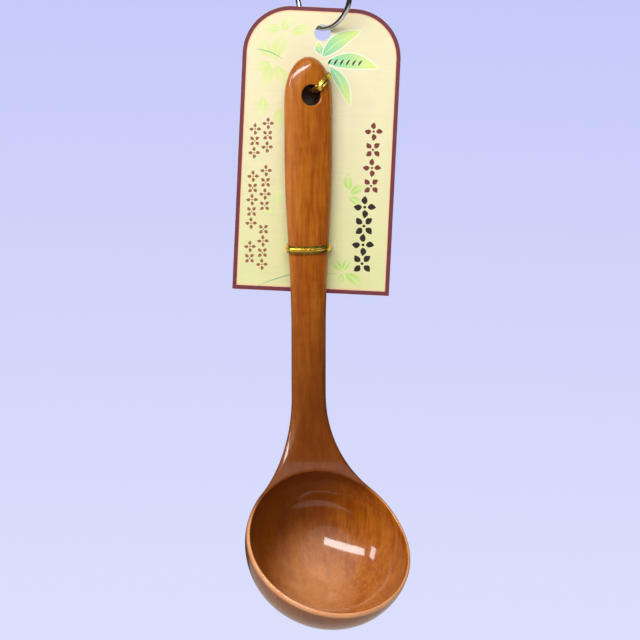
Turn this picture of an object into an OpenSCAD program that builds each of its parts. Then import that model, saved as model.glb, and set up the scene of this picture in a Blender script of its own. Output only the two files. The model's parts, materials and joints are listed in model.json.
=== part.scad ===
// A carved wooden ladle tied to a paperboard hang card with two foil twist ties.
// The card hangs by its punched hole from the lower bend of a steel wire S-hook.
// Millimetres, +Z up. The front of the card faces -Y and +X is to the viewer's right.
// The origin is the inner top of the hook's upper bend, where the hook hangs on a rail.

/* [Ladle] */
// Length of the ladle along its curved centre line
ladle_len = 289.4; // [280:0.2:300]
// Half width of the handle at the grip
grip_half = 12.4; // [11:0.1:14]
// Half width of the handle where it is thinnest
neck_half = 8.8; // [7:0.1:10]
// Height of the grip's front face above its side edges
grip_front = 5; // [4:0.1:5.5]
// Depth of the grip's back face below its side edges
grip_back = 5.5; // [4:0.1:6]
// Radius of the hollow curve that leads from the neck into the bowl
shoulder_r = 64; // [50:1:90]
// Diameter of the hanging hole in the grip
eye_d = 10; // [7:0.5:11]
// Distance from the end of the grip to the centre of the hanging hole
eye_v = 18.8; // [18:0.1:22]

/* [Bowl] */
// Half of the bowl's outer width
bowl_r = 41; // [40:0.1:43]
// Length of the bowl divided by its width
bowl_oval = 1.04; // [1:0.01:1.06]
// Width of the rim, from the hollow to the outside
rim_w = 1.8; // [1.6:0.1:3]
// Depth of the bowl outside, below its rim
bowl_depth = 34.8; // [34:0.1:37]
// Depth of the hollow below the rim
hollow_depth = 31.8; // [28:0.1:32]
// Roundness of the bowl: 2 is an ellipse, more is fuller
bowl_power = 2.1; // [2:0.05:2.4]
// Angle by which the bowl tips forward from the handle
bowl_tilt = 48.2; // [35:0.1:55]
// Distance down the ladle where the forward bend starts
bend_start = 150.5; // [145:0.5:170]
// Distance down the ladle where the forward bend ends
bend_end = 261.7; // [250:0.1:270]

/* [Card] */
// Width of the hang card
card_w = 78.4; // [74:0.2:84]
// Height of the hang card
card_h = 141.5; // [136:0.5:146]
// Thickness of the paperboard
card_t = 0.8; // [0.5:0.1:1]
// Radius of the card's top corners
card_corner = 24; // [10:1:30]
// Diameter of the punched hang hole
hang_d = 8; // [7.5:0.1:9]
// Distance from the card's top edge to the centre of the hang hole
hang_drop = 12.5; // [10:0.5:16]
// Angle by which the card leans as it hangs, top to the right
card_lean = 2.7; // [2:0.1:3.5]
// Diameter of the small holes that the ties pass through
tie_hole_d = 2.4; // [2.2:0.1:3]

/* [Hook] */
// Diameter of the hook's wire
wire_d = 2.5; // [2:0.1:2.6]
// Radius of both bends, to the middle of the wire
bend_r = 17.5; // [16:0.5:20]
// Angle that each bend goes round, from the shank to its tip
bend_sweep = 277; // [255:1:285]
// Lean of the short shank between the two bends
shank_lean = 13; // [10:1:20]
// Angle between the plane of the hook and the card
hook_yaw = 42; // [40:1:50]

/* [Ties] */
// Width of a tie where it lies flat
tie_w = 4; // [3:0.1:4.2]
// Diameter of the steel wire inside a tie
core_d = 0.5; // [0.4:0.05:0.6]
// Thickness of one foil film
film_t = 0.15; // [0.1:0.01:0.16]

/* [Hidden] */
$fn = 72;

// Height of the hook's two bend centres and of the wire's lowest point
upper_z = wire_d / 2 - bend_r;
lower_z = upper_z - 2 * bend_r / cos(shank_lean);
pivot_z = lower_z - bend_r;

// Angle that the card and ladle settle through, so that their centre of mass is under the wire
settle = 1.5;

// The punched hole hangs on the wire with a hair of clearance
hang_gap = 0.5;
hang_z = pivot_z + wire_d / 2 + hang_gap - hang_d / 2;

// Where the top of the ladle's centre line sits, and how far the ladle is rolled to its right
ladle_pos = [-7, -7.8, -83.7];
ladle_roll = 18.4;

// The ladle's plan is drawn with a round bowl and then stretched along the centre line.
// Positions v down the plan, from the grip's end
flat_len = ladle_len / bowl_oval;
bowl_v = flat_len - bowl_r;
taper_start = 45;
taper_end = 130;
round_end = 20.6;
shoulder_x = neck_half + shoulder_r;
shoulder_gap = sqrt(pow(bowl_r + shoulder_r, 2) - pow(shoulder_x, 2));
shoulder_v = bowl_v - shoulder_gap;
touch_v = bowl_v - shoulder_gap * bowl_r / (bowl_r + shoulder_r);
touch_angle = atan2(shoulder_x, shoulder_gap);

// Edge rounding of the grip and of the rim
grip_round = 8;
grip_back_round = 9;
rim_round = 1.2;
lip_round = 0.6;
hollow_r = bowl_r - rim_w;
blend_power = 2.5;
end_power = 2;

// Mesh density of the ladle: segments round the bowl, rings in it, points across the rim
segs = 40;
neck_segs = 4;
rings = 6;
band = [0.35, 0.7, 1];
bands = len(band);
leave = [0.1, 0.3, 0.5, 0.75, 1];
neck_rows = 8;
grip_rows = 7;
end_rows = 6;

// ---- Curves of the ladle -------------------------------------------------------------------
function clamp01(t) = min(max(t, 0), 1);
function ease(t) = let (u = clamp01(t)) u * u * (3 - 2 * u);
function mix(a, b, t) = a + (b - a) * t;
function ones(list) = [for (i = list) 1];
function arc01(t) = sqrt(1 - pow(1 - clamp01(t), 2));

// Forward tilt of the centre line at a position v down the plan
function tilt(v) = bowl_tilt * ease((v * bowl_oval - bend_start) / (bend_end - bend_start));

// Centre line: the sum of short steps, each along the tilt at its middle
spine_steps = 48;
function spine(v) =
    let (h = v / spine_steps, a = [for (i = [0 : spine_steps - 1]) tilt((i + 0.5) * h)], s = h * bowl_oval)
    [0, -s * ([for (t = a) sin(t)] * ones(a)), -s * ([for (t = a) cos(t)] * ones(a))];

// Half width of the ladle's outline
function grip_width(v) =
    mix(grip_half, neck_half, ease((v - taper_start) / (taper_end - taper_start)))
    * sqrt(1 - pow(1 - clamp01(v / round_end), end_power));
function width(v) =
    v < shoulder_v ? grip_width(v)
    : v < touch_v ? shoulder_x - sqrt(pow(shoulder_r, 2) - pow(v - shoulder_v, 2))
    : sqrt(max(pow(bowl_r, 2) - pow(v - bowl_v, 2), 0));
function slope(v) = (width(v + 0.05) - width(max(v - 0.05, 0))) / 0.1;

// 1 along the handle, falling to 0 at the bowl
function handle_share(v) = 1 - ease((v - (bowl_v - bowl_r - 50)) / 60);
function back_share(v) = 1 - ease((v - (bowl_v - bowl_r - 5)) / (bowl_r - 15));

// Distance inwards from the outline
function inset(x, v) =
    v > touch_v ? bowl_r - norm([x, v - bowl_v])
    : (width(v) - abs(x)) / sqrt(1 + pow(slope(v), 2));

// A bowl-shaped depth: full at the centre and 0 at radius r
function dish(d, r, depth) = depth * pow(max(1 - pow(d / r, bowl_power), 0), 1 / bowl_power);

// Heights of the outline's edge, of the front face and of the back face
function edge_n(v) = -rim_round * (1 - handle_share(v));
function front_n(x, v) =
    let (d = norm([x, v - bowl_v]),
         top = grip_front * handle_share(v),
         soft = mix(rim_round, grip_round, handle_share(v)),
         land = mix(edge_n(v), top, arc01(inset(x, v) / soft)))
    d < hollow_r - 0.001 ? -lip_round - dish(d, hollow_r, hollow_depth)
    : land - lip_round * (1 - arc01((d - hollow_r) / lip_round));
function back_n(x, v) =
    let (d = norm([x, v - bowl_v]),
         handle = grip_back * back_share(v) * arc01(inset(x, v) / grip_back_round),
         bowl = dish(min(d, bowl_r), bowl_r, bowl_depth))
    edge_n(v) - pow(pow(handle, blend_power) + pow(bowl, blend_power), 1 / blend_power);

// A point at x across, n in front of the centre line's plane and v down the ladle
function place(x, n, v) =
    let (s = spine(v), t = tilt(v)) [x, s[1] - n * cos(t), s[2] + n * sin(t)];

// ---- Plan of the ladle: the same grid of [x, v] points serves its front and its back ----------
cols = 2 * bands + 2 * neck_segs + 1;
side = segs - 2 * neck_segs + 1;
neck_v = bowl_v - hollow_r - 7;
row_v = concat(
    [for (i = [1 : neck_rows]) mix(neck_v, taper_end, i / neck_rows)],
    [for (i = [1 : grip_rows]) mix(taper_end, round_end, i / grip_rows)],
    [for (i = [1 : end_rows - 1]) round_end * (1 - sin(90 * i / end_rows))]);
rows = len(leave) + len(row_v);

// Distance from the bowl's centre to the outline, at an angle from the handle's direction
function reach(a) =
    let (b = shoulder_x * abs(sin(a)) + shoulder_gap * cos(a),
         c = pow(bowl_r, 2) + 2 * bowl_r * shoulder_r)
    abs(a > 180 ? 360 - a : a) < touch_angle ? b - sqrt(b * b - c) : bowl_r;
function polar(a, r) = [r * sin(a), bowl_v - r * cos(a)];
function seg_angle(i) = 360 * ((i + segs) % segs) / segs;
function ring_pt(k, i) = polar(seg_angle(i), hollow_r * sin(90 * k / rings));
function band_pt(k, i) =
    let (a = seg_angle(i)) polar(a, mix(hollow_r, reach(a), band[k - 1]));

// The first row crosses the neck along the hollow's edge; later rows straighten out
first_row = concat(
    [for (k = [bands : -1 : 1]) band_pt(k, neck_segs)],
    [for (i = [neck_segs : -1 : -neck_segs]) ring_pt(rings, i)],
    [for (k = [1 : bands]) band_pt(k, -neck_segs)]);
function straight(j) = cos(180 * j / (cols - 1));
function leave_pt(s, j) =
    let (p = first_row[j], v = mix(p[1], neck_v, s), c = mix(p[0] / width(p[1]), straight(j), s))
    [width(v) * c, v];

plan = concat(
    [[0, bowl_v]],
    [for (k = [1 : rings]) for (i = [0 : segs - 1]) ring_pt(k, i)],
    [for (k = [1 : bands]) for (i = [0 : side - 1]) band_pt(k, i + neck_segs)],
    [for (s = leave) for (j = [0 : cols - 1]) leave_pt(s, j)],
    [for (v = row_v) for (j = [0 : cols - 1]) [width(v) * straight(j), v]],
    [[0, 0]]);
count = len(plan);
band_base = 1 + rings * segs;
row_base = band_base + bands * side;
tip = count - 1;

function ring_at(k, i) = k == 0 ? 0 : 1 + (k - 1) * segs + (i + segs) % segs;
function band_at(k, i) = k == 0 ? ring_at(rings, i) : band_base + (k - 1) * side + i - neck_segs;
function row_at(r, j) =
    r > 0 ? row_base + (r - 1) * cols + j
    : j < bands ? band_at(bands - j, neck_segs)
    : j > cols - 1 - bands ? band_at(j - (cols - 1 - bands), segs - neck_segs)
    : ring_at(rings, neck_segs + bands - j);

front_faces = concat(
    [for (i = [0 : segs - 1]) [0, ring_at(1, i), ring_at(1, i + 1)]],
    [for (k = [1 : rings - 1]) for (i = [0 : segs - 1])
        [ring_at(k, i), ring_at(k + 1, i), ring_at(k + 1, i + 1), ring_at(k, i + 1)]],
    [for (k = [0 : bands - 1]) for (i = [neck_segs : segs - neck_segs - 1])
        [band_at(k, i), band_at(k + 1, i), band_at(k + 1, i + 1), band_at(k, i + 1)]],
    [for (r = [0 : rows - 1]) for (j = [0 : cols - 2])
        [row_at(r, j), row_at(r, j + 1), row_at(r + 1, j + 1), row_at(r + 1, j)]],
    [for (j = [0 : cols - 2]) [row_at(rows, j), row_at(rows, j + 1), tip]]);

// Points on the outline belong to the front and to the back
function on_outline(q) =
    q == tip
    || (q >= band_base + (bands - 1) * side && q < row_base)
    || (q >= row_base && ((q - row_base) % cols == 0 || (q - row_base) % cols == cols - 1));
function behind(q) = on_outline(q) ? q : q + count;
back_faces = [for (f = front_faces) [for (i = [len(f) - 1 : -1 : 0]) behind(f[i])]];

// Everything that hangs on the wire, turned about it as it settles
module hung() {
    translate([0, 0, pivot_z]) rotate([0, -settle, 0]) translate([0, 0, -pivot_z]) children();
}

module in_ladle_frame() {
    hung() translate(ladle_pos) rotate([0, 0, ladle_roll]) children();
}

module ladle_blank() {
    polyhedron(
        points = concat(
            [for (q = [0 : count - 1]) let (x = plan[q][0], v = plan[q][1])
                place(x, on_outline(q) ? edge_n(v) : front_n(x, v), v)],
            [for (p = plan) place(p[0], back_n(p[0], p[1]), p[1])]),
        faces = concat(front_faces, back_faces),
        convexity = 6);
}

module ladle() {
    color("sienna") in_ladle_frame() difference() {
        ladle_blank();
        translate([0, 0, -eye_v]) rotate([90, 0, 0]) cylinder(d = eye_d, h = 40, center = true);
    }
}

// ---- Hang card ---------------------------------------------------------------------------------
// Card outline: square bottom corners, large round top corners, the hang hole at the origin
module card_outline() {
    translate([-card_w / 2, hang_drop - card_h]) square([card_w, card_h - card_corner]);
    translate([card_corner - card_w / 2, hang_drop - card_corner - 1])
        square([card_w - 2 * card_corner, card_corner + 1]);
    for (x = [-1, 1]) {
        translate([x * (card_w / 2 - card_corner), hang_drop - card_corner]) circle(r = card_corner);
    }
}

module through_card(x, z, d) {
    translate([x, 0, z]) rotate([90, 0, 0]) cylinder(d = d, h = 4 * card_t, center = true);
}

module card() {
    color("blanchedalmond") hung() difference() {
        translate([0, 0, hang_z]) rotate([90, card_lean, 0])
            linear_extrude(height = card_t, center = true) card_outline();
        through_card(0, hang_z, hang_d);
        for (hole = tie_holes) {
            through_card(hole[0], hole[1], tie_hole_d);
        }
    }
}

// ---- Hook --------------------------------------------------------------------------------------
// One bend of the hook in its own plane, from the shank round to the tip
module bend() {
    rotate([90, 0, 0]) rotate([0, 0, 90 - shank_lean - bend_sweep])
        rotate_extrude(angle = bend_sweep) translate([bend_r, 0]) circle(d = wire_d);
}

// The shank is a hair thinner than the bends, and its ends lie inside them
shank_fit = 0.02;
shank_into = 0.3;
module shank() {
    translate([0, 0, (upper_z + lower_z) / 2]) rotate([0, 90 + shank_lean, 0])
        cylinder(d = wire_d - shank_fit, h = 2 * (bend_r * tan(shank_lean) + shank_into), center = true);
}

module hook() {
    color("silver") rotate([0, 0, -hook_yaw]) {
        translate([0, 0, lower_z]) bend();
        translate([0, 0, upper_z]) rotate([0, 180, 0]) bend();
        shank();
    }
}

// ---- Twist ties --------------------------------------------------------------------------------
// Holes in the card for the ties, as [x, z]: behind the eye, beside the grip, left and right waist
tie_holes = [[-6.4, -100.2], [2.6, -92], [-16.3, -177.4], [4.3, -177.5]];

// Each stop of a route is [x, y, z], then the direction across the tie, then its width share.
// A tie is gathered narrow where it goes through a hole and where its ends are twisted.
thin = 0.36;
upper_route = [
    [[-2, 2.8, -100.9], [0.3, 1, 0.3], thin],
    [[-3.5, 2.7, -99.8], [0, 0.7, 0.7], thin],
    [[-5.2, 2.1, -100], [0, 0.2, 1], thin],
    [[-6.4, 0, -100.2], [0, 0, 1], thin],
    [[-5.9, -3.9, -100], [-0.35, 0, 0.9], 0.5],
    [[-4.4, -7.9, -99.8], [-0.7, 0, 0.7], 0.8],
    [[-2.9, -12, -99.2], [-0.7, 0, 0.6], 0.9],
    [[-1, -13.3, -97.6], [-0.7, 0, 0.6], 0.9],
    [[1, -12.2, -95.5], [-0.65, 0, 0.6], 0.85],
    [[2.7, -9.9, -93.8], [-0.6, 0, 0.7], 0.75],
    [[3.9, -6.4, -92.9], [-0.4, 0, 0.9], 0.6],
    [[3.7, -2.9, -92.3], [-0.15, 0, 1], 0.45],
    [[2.6, 0, -92], [0, 0, 1], thin],
    [[1.9, 2.1, -92.5], [0.2, 0.2, 1], thin],
    [[0.7, 2.7, -95], [0.6, 0.8, 0.3], thin],
    [[0.5, 2.8, -98.4], [0.3, 1, 0], thin],
    [[0.5, 2.8, -100.6], [0, 1, 0], thin]];
waist_route = [
    [[-7.9, 2.8, -179.5], [0.2, 1, 0.2], thin],
    [[-10, 2.8, -178.7], [0, 1, 0.5], thin],
    [[-13, 2.7, -177.9], [0, 0.7, 0.7], thin],
    [[-15, 2.1, -177.5], [0, 0.2, 1], thin],
    [[-16.3, 0, -177.4], [0, 0, 1], thin],
    [[-17.5, -3.8, -177.6], [0, 0, 1], 0.8],
    [[-17.9, -9.4, -178], [0, 0, 1], 1],
    [[-16.2, -13.5, -178.3], [0, 0, 1], 1],
    [[-12, -14.8, -178.6], [0, 0, 1], 1],
    [[-6.2, -13.6, -178.6], [0, 0, 1], 1],
    [[-0.8, -11.7, -178.3], [0, 0, 1], 1],
    [[2.5, -9.2, -177.8], [0, 0, 1], 0.95],
    [[4, -5.2, -177.6], [0, 0, 1], 0.7],
    [[4.4, -2.2, -177.5], [0, 0, 1], 0.5],
    [[4.3, 0, -177.5], [0, 0, 1], thin],
    [[3, 2.1, -177.6], [0, 0.2, 1], thin],
    [[0.8, 2.7, -177.9], [0, 0.7, 0.7], thin],
    [[-2.4, 2.8, -178.4], [0, 1, 0.5], thin],
    [[-4.2, 2.8, -178.9], [0, 1, 0.2], thin]];

// Behind the card the two ends turn round each other, then spread as two flat tails
twist_r = 1;
twist_turns = 1.5;
twist_len = 10;
twist_steps = 16;
tail_len = 8;
tail_spread = 4;
tail_stops = [1, 0.6, 0.3, 0.1, 0];
twist_y = card_t / 2 + 2.4;

// Start of the twist and its direction along the card's back, in degrees from +X towards +Z
upper_twist = [[-0.6, twist_y, -101.7], -85];
waist_twist = [[-6, twist_y, -180], -80];

function unit(v) = v / norm(v);
function along(a) = [cos(a), 0, sin(a)];
function aside(a) = [-sin(a), 0, cos(a)];

// A stop of the twisted stretch: k is 0 or 1 for the two ends, i counts from the card outwards
function twist_stop(twist, k, i) =
    let (a = twist[1], q = 180 - 180 * k + 360 * twist_turns * ease(i / twist_steps),
         out = cos(q) * aside(a) + sin(q) * [0, 1, 0],
         round = cos(q) * [0, 1, 0] - sin(q) * aside(a))
    [twist[0] + along(a) * twist_len * i / twist_steps + out * twist_r, round, thin];
function tail_stop(twist, k, t) =
    let (a = twist[1], s = (2 * k - 1) * cos(360 * twist_turns))
    [twist[0] + along(a) * (twist_len + 1 + tail_len * t) + aside(a) * s * (twist_r + tail_spread * t * t)
        + [0, -0.6 * t, 0], aside(a), mix(thin, 0.9, ease(t))];
function end_stops(twist, k) = concat(
    [for (t = tail_stops) tail_stop(twist, k, t)],
    [for (i = [twist_steps : -1 : 0]) twist_stop(twist, k, i)]);
function reversed(list) = [for (i = [len(list) - 1 : -1 : 0]) list[i]];
function full_route(route, twist) =
    smooth(concat(end_stops(twist, 0), route, reversed(end_stops(twist, 1))));

// Catmull-Rom curve through the stops
smooth_steps = 2;
function curve(a, b, c, d, t) =
    0.5 * (2 * b + (c - a) * t + (2 * a - 5 * b + 4 * c - d) * t * t
        + (3 * b - a - 3 * c + d) * t * t * t);
function smooth(r) = concat(
    [for (i = [0 : len(r) - 2]) for (s = [0 : smooth_steps - 1])
        let (t = s / smooth_steps, a = r[max(i - 1, 0)], b = r[i], c = r[i + 1],
             d = r[min(i + 2, len(r) - 1)], turn = b[1] * c[1] < 0 ? -1 : 1)
        [curve(a[0], b[0], c[0], d[0], t), mix(b[1], c[1] * turn, t), mix(b[2], c[2], t)]],
    [r[len(r) - 1]]);

// Directions across the tie at every stop, each turned to the same side as the one before
function heading(route, i) =
    unit(route[min(i + 1, len(route) - 1)][0] - route[max(i - 1, 0)][0]);
function square_to(a, go) = unit(a - go * (a * go));
function crossings(route, i = 0, done = []) =
    i == len(route) ? done
    : let (a = square_to(route[i][1], heading(route, i)), turn = i == 0 ? 1 : a * done[i - 1] < 0 ? -1 : 1)
      crossings(route, i + 1, concat(done, [a * turn]));

// Places a section's [across, out] points at every stop of a route and skins them
module sweep(route, section) {
    n = len(route);
    m = len(section(1));
    across = crossings(route);
    stations = [for (i = [0 : n - 1])
        let (out = cross(across[i], heading(route, i)))
        [for (p = section(route[i][2])) route[i][0] + across[i] * p[0] + out * p[1]]];
    polyhedron(
        points = [for (s = stations) for (p = s) p],
        faces = concat(
            [[for (j = [m - 1 : -1 : 0]) j]],
            [for (i = [0 : n - 2]) for (j = [0 : m - 1]) for (half = [0, 1])
                let (near = i * m + j, next = i * m + (j + 1) % m)
                half == 0 ? [near, next, next + m] : [near, next + m, near + m]],
            [[for (j = [0 : m - 1]) (n - 1) * m + j]]),
        convexity = 10);
}

// Sections: the round core, and a film that bulges over the core on one side (s is 1 or -1)
core_sides = 6;
film_gap = 0.05;
function core_section(w) =
    [for (j = [0 : core_sides - 1]) core_d / 2 * [cos(360 * j / core_sides), sin(360 * j / core_sides)]];
film_cuts = [-1, -0.4, 0, 0.4, 1];
function bulge(u) = (core_d / 2 + film_gap) * exp(-pow(u / core_d * 1.2, 4)) + film_gap;
function film_section(w, s) =
    let (h = tie_w * w / 2)
    concat(
        [for (c = film_cuts) [c * h, s * bulge(c * h)]],
        [for (c = reversed(film_cuts)) [c * h, s * (bulge(c * h) + film_t)]]);

module tie_wire(route) {
    color("dimgray") hung() sweep(route, function(w) core_section(w));
}

module tie_foil(route, s) {
    color("gold") hung() sweep(route, function(w) s > 0 ? film_section(w, 1) : reversed(film_section(w, -1)));
}

upper_path = full_route(upper_route, upper_twist);
waist_path = full_route(waist_route, waist_twist);

module upper_tie_wire() {
    tie_wire(upper_path);
}

module upper_tie_outer_foil() {
    tie_foil(upper_path, 1);
}

module upper_tie_inner_foil() {
    tie_foil(upper_path, -1);
}

module waist_tie_wire() {
    tie_wire(waist_path);
}

module waist_tie_outer_foil() {
    tie_foil(waist_path, 1);
}

module waist_tie_inner_foil() {
    tie_foil(waist_path, -1);
}

hook();
card();
ladle();
upper_tie_wire();
upper_tie_outer_foil();
upper_tie_inner_foil();
waist_tie_wire();
waist_tie_outer_foil();
waist_tie_inner_foil();
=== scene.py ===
"""A lacquered wooden ladle tied to a printed hang card, hanging from a chrome wire hook.

Everything is in metres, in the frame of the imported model: +Z up, the card's front towards -Y,
and the origin at the inner top of the hook's upper bend.
"""

import json
import logging
import math
from dataclasses import dataclass, field
from enum import Enum
from typing import Any, Callable, Mapping, Sequence

import bpy
import numpy as np
from mathutils import Matrix, Vector
from mathutils.geometry import delaunay_2d_cdt


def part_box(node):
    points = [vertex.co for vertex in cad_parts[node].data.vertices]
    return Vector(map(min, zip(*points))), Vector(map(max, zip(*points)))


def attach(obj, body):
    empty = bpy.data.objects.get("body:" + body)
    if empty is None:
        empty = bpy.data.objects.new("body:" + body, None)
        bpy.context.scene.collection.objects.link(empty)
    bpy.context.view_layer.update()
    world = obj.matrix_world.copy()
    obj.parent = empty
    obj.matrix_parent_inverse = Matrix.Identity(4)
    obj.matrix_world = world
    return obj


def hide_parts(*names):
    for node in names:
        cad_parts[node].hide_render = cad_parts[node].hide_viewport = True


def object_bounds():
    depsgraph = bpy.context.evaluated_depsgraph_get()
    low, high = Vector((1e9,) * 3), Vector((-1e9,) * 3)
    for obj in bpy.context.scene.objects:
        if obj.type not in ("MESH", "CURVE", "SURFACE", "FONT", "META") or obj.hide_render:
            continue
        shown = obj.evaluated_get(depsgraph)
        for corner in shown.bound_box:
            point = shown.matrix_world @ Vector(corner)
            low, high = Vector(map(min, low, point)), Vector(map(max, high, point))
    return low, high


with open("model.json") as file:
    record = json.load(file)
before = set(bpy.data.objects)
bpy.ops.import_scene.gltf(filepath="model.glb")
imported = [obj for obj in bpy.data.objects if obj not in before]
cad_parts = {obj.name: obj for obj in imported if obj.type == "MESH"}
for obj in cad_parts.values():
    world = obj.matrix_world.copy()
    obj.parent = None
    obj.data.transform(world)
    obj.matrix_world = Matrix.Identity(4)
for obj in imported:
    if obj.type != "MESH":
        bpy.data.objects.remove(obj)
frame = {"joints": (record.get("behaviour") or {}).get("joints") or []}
CAD_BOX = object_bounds()

log = logging.getLogger("ladle")

MM = 0.001
SETTLE = math.radians(-1.5)
Color = tuple[float, float, float, float]
Face = tuple[int, ...]


# ---- Shader expressions ----------


def srgb(red: int, green: int, blue: int) -> Color:
    """The linear colour of an 8-bit sRGB triple."""
    linear = [
        v / 12.92 if v <= 0.04045 else ((v + 0.055) / 1.055) ** 2.4
        for v in (red / 255, green / 255, blue / 255)
    ]
    return (linear[0], linear[1], linear[2], 1.0)


@dataclass(frozen=True)
class Grain:
    """One layer of fractal noise.

    Args:
        scale: How many features go into a metre along X, Y and Z.
        detail: How many octaves are added.
        rough: How strong each octave is next to the one before.
        bent: How far the pattern is bent.
    """

    scale: tuple[float, float, float]
    detail: float = 4.0
    rough: float = 0.55
    bent: float = 0.0


class NodeTree:
    """An emptied node tree and the means to fill it.

    Args:
        tree: The node tree.
    """

    def __init__(self, tree: bpy.types.NodeTree) -> None:
        """Takes the tree and empties it."""
        self.tree = tree
        tree.nodes.clear()

    def node(
        self,
        kind: str,
        settings: Mapping[str, Any] | None = None,
        inputs: Mapping[str | int, Any] | None = None,
    ) -> bpy.types.Node:
        """Adds a node.

        Args:
            kind: The node's type name.
            settings: The node's own settings, set first.
            inputs: Values or links for its input sockets, by name or number.

        Returns:
            The new node.
        """
        made = self.tree.nodes.new(kind)
        for key, setting in (settings or {}).items():
            setattr(made, key, setting)
        for key, given in (inputs or {}).items():
            source = given.socket if isinstance(given, Value) else given
            if isinstance(source, bpy.types.NodeSocket):
                self.tree.links.new(source, made.inputs[key])
            else:
                made.inputs[key].default_value = source
        return made


class Value:
    """A number that varies over a surface, usable in Python arithmetic.

    Args:
        shader: The shader whose node tree the arithmetic goes into.
        socket: The output socket that carries the number.
    """

    def __init__(self, shader: "Shader", socket: bpy.types.NodeSocket) -> None:
        """Wraps the socket."""
        self.shader = shader
        self.socket = socket

    def __add__(self, other: Any) -> "Value":
        """This value plus another."""
        return self.shader.math("ADD", self, other)

    def __mul__(self, other: Any) -> "Value":
        """This value times another."""
        return self.shader.math("MULTIPLY", self, other)

    def __rsub__(self, other: Any) -> "Value":
        """Another value less this one."""
        return self.shader.math("SUBTRACT", other, self)

    __radd__ = __add__
    __rmul__ = __mul__

    def step(self, low: float, high: float) -> "Value":
        """A smooth step from 0 at low to 1 at high.

        Args:
            low: Where the step starts.
            high: Where the step ends.

        Returns:
            The stepped value.
        """
        settings = {"interpolation_type": "SMOOTHSTEP"}
        inputs = {"Value": self, "From Min": low, "From Max": high}
        made = self.shader.node("ShaderNodeMapRange", settings, inputs)
        return self.shader.value(made, "Result")


class Shader(NodeTree):
    """A material and the node tree behind it.

    Args:
        name: The material's name.
    """

    def __init__(self, name: str) -> None:
        """Makes the material and empties its tree."""
        self.material = bpy.data.materials.new(name)
        self.material.use_nodes = True
        super().__init__(self.material.node_tree)

    def value(self, node: bpy.types.Node, output: str | int = 0) -> Value:
        """The value at one of a node's outputs."""
        return Value(self, node.outputs[output])

    def math(self, operation: str, *values: Any) -> Value:
        """Adds a Math node.

        Args:
            operation: The Math node's operation.
            values: Its inputs in order, as values or numbers.

        Returns:
            The node's result.
        """
        settings = {"operation": operation}
        return self.value(self.node("ShaderNodeMath", settings, dict(enumerate(values))))

    def blend(self, share: Any, first: Any, second: Any) -> Value:
        """Blends two colours through a Mix node.

        Args:
            share: How much of the second colour shows, 0 to 1.
            first: The colour at 0.
            second: The colour at 1.

        Returns:
            The blended colour.
        """
        settings = {"data_type": "RGBA", "clamp_factor": True}
        made = self.node("ShaderNodeMix", settings, {0: share, 6: first, 7: second})
        return self.value(made, 2)

    def place(self, scale: Sequence[float]) -> Value:
        """Object coordinates, scaled on each axis.

        Args:
            scale: How many features go into a metre along X, Y and Z.

        Returns:
            The scaled position.
        """
        where = self.node("ShaderNodeTexCoord").outputs["Object"]
        inputs = {0: where, 1: tuple(scale)}
        made = self.node("ShaderNodeVectorMath", {"operation": "MULTIPLY"}, inputs)
        return self.value(made, "Vector")

    def noise(self, grain: Grain) -> Value:
        """Fractal noise, from about 0.3 to 0.7.

        Args:
            grain: The noise's size and character.

        Returns:
            The noise value.
        """
        inputs = {
            "Vector": self.place(grain.scale),
            "Scale": 1.0,
            "Detail": grain.detail,
            "Roughness": grain.rough,
            "Distortion": grain.bent,
        }
        return self.value(self.node("ShaderNodeTexNoise", {}, inputs))

    def bump(self, height: Value, depth: float, strength: float) -> Value:
        """A normal bent by a height.

        Args:
            height: The height, 0 to 1.
            depth: The depth in metres between 0 and 1.
            strength: How much of the effect is used.

        Returns:
            The bent normal.
        """
        inputs = {"Height": height, "Distance": depth, "Strength": strength}
        return self.value(self.node("ShaderNodeBump", {}, inputs))

    def finish(self, **sockets: Any) -> bpy.types.Material:
        """Closes the tree with a Principled shader.

        Args:
            sockets: Its inputs, with underscores for spaces.

        Returns:
            The finished material.
        """
        named = {key.replace("_", " "): given for key, given in sockets.items()}
        surface = self.node("ShaderNodeBsdfPrincipled", {}, named)
        self.node("ShaderNodeOutputMaterial", {}, {"Surface": surface.outputs["BSDF"]})
        return self.material


# ---- Finishes ----------


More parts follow.
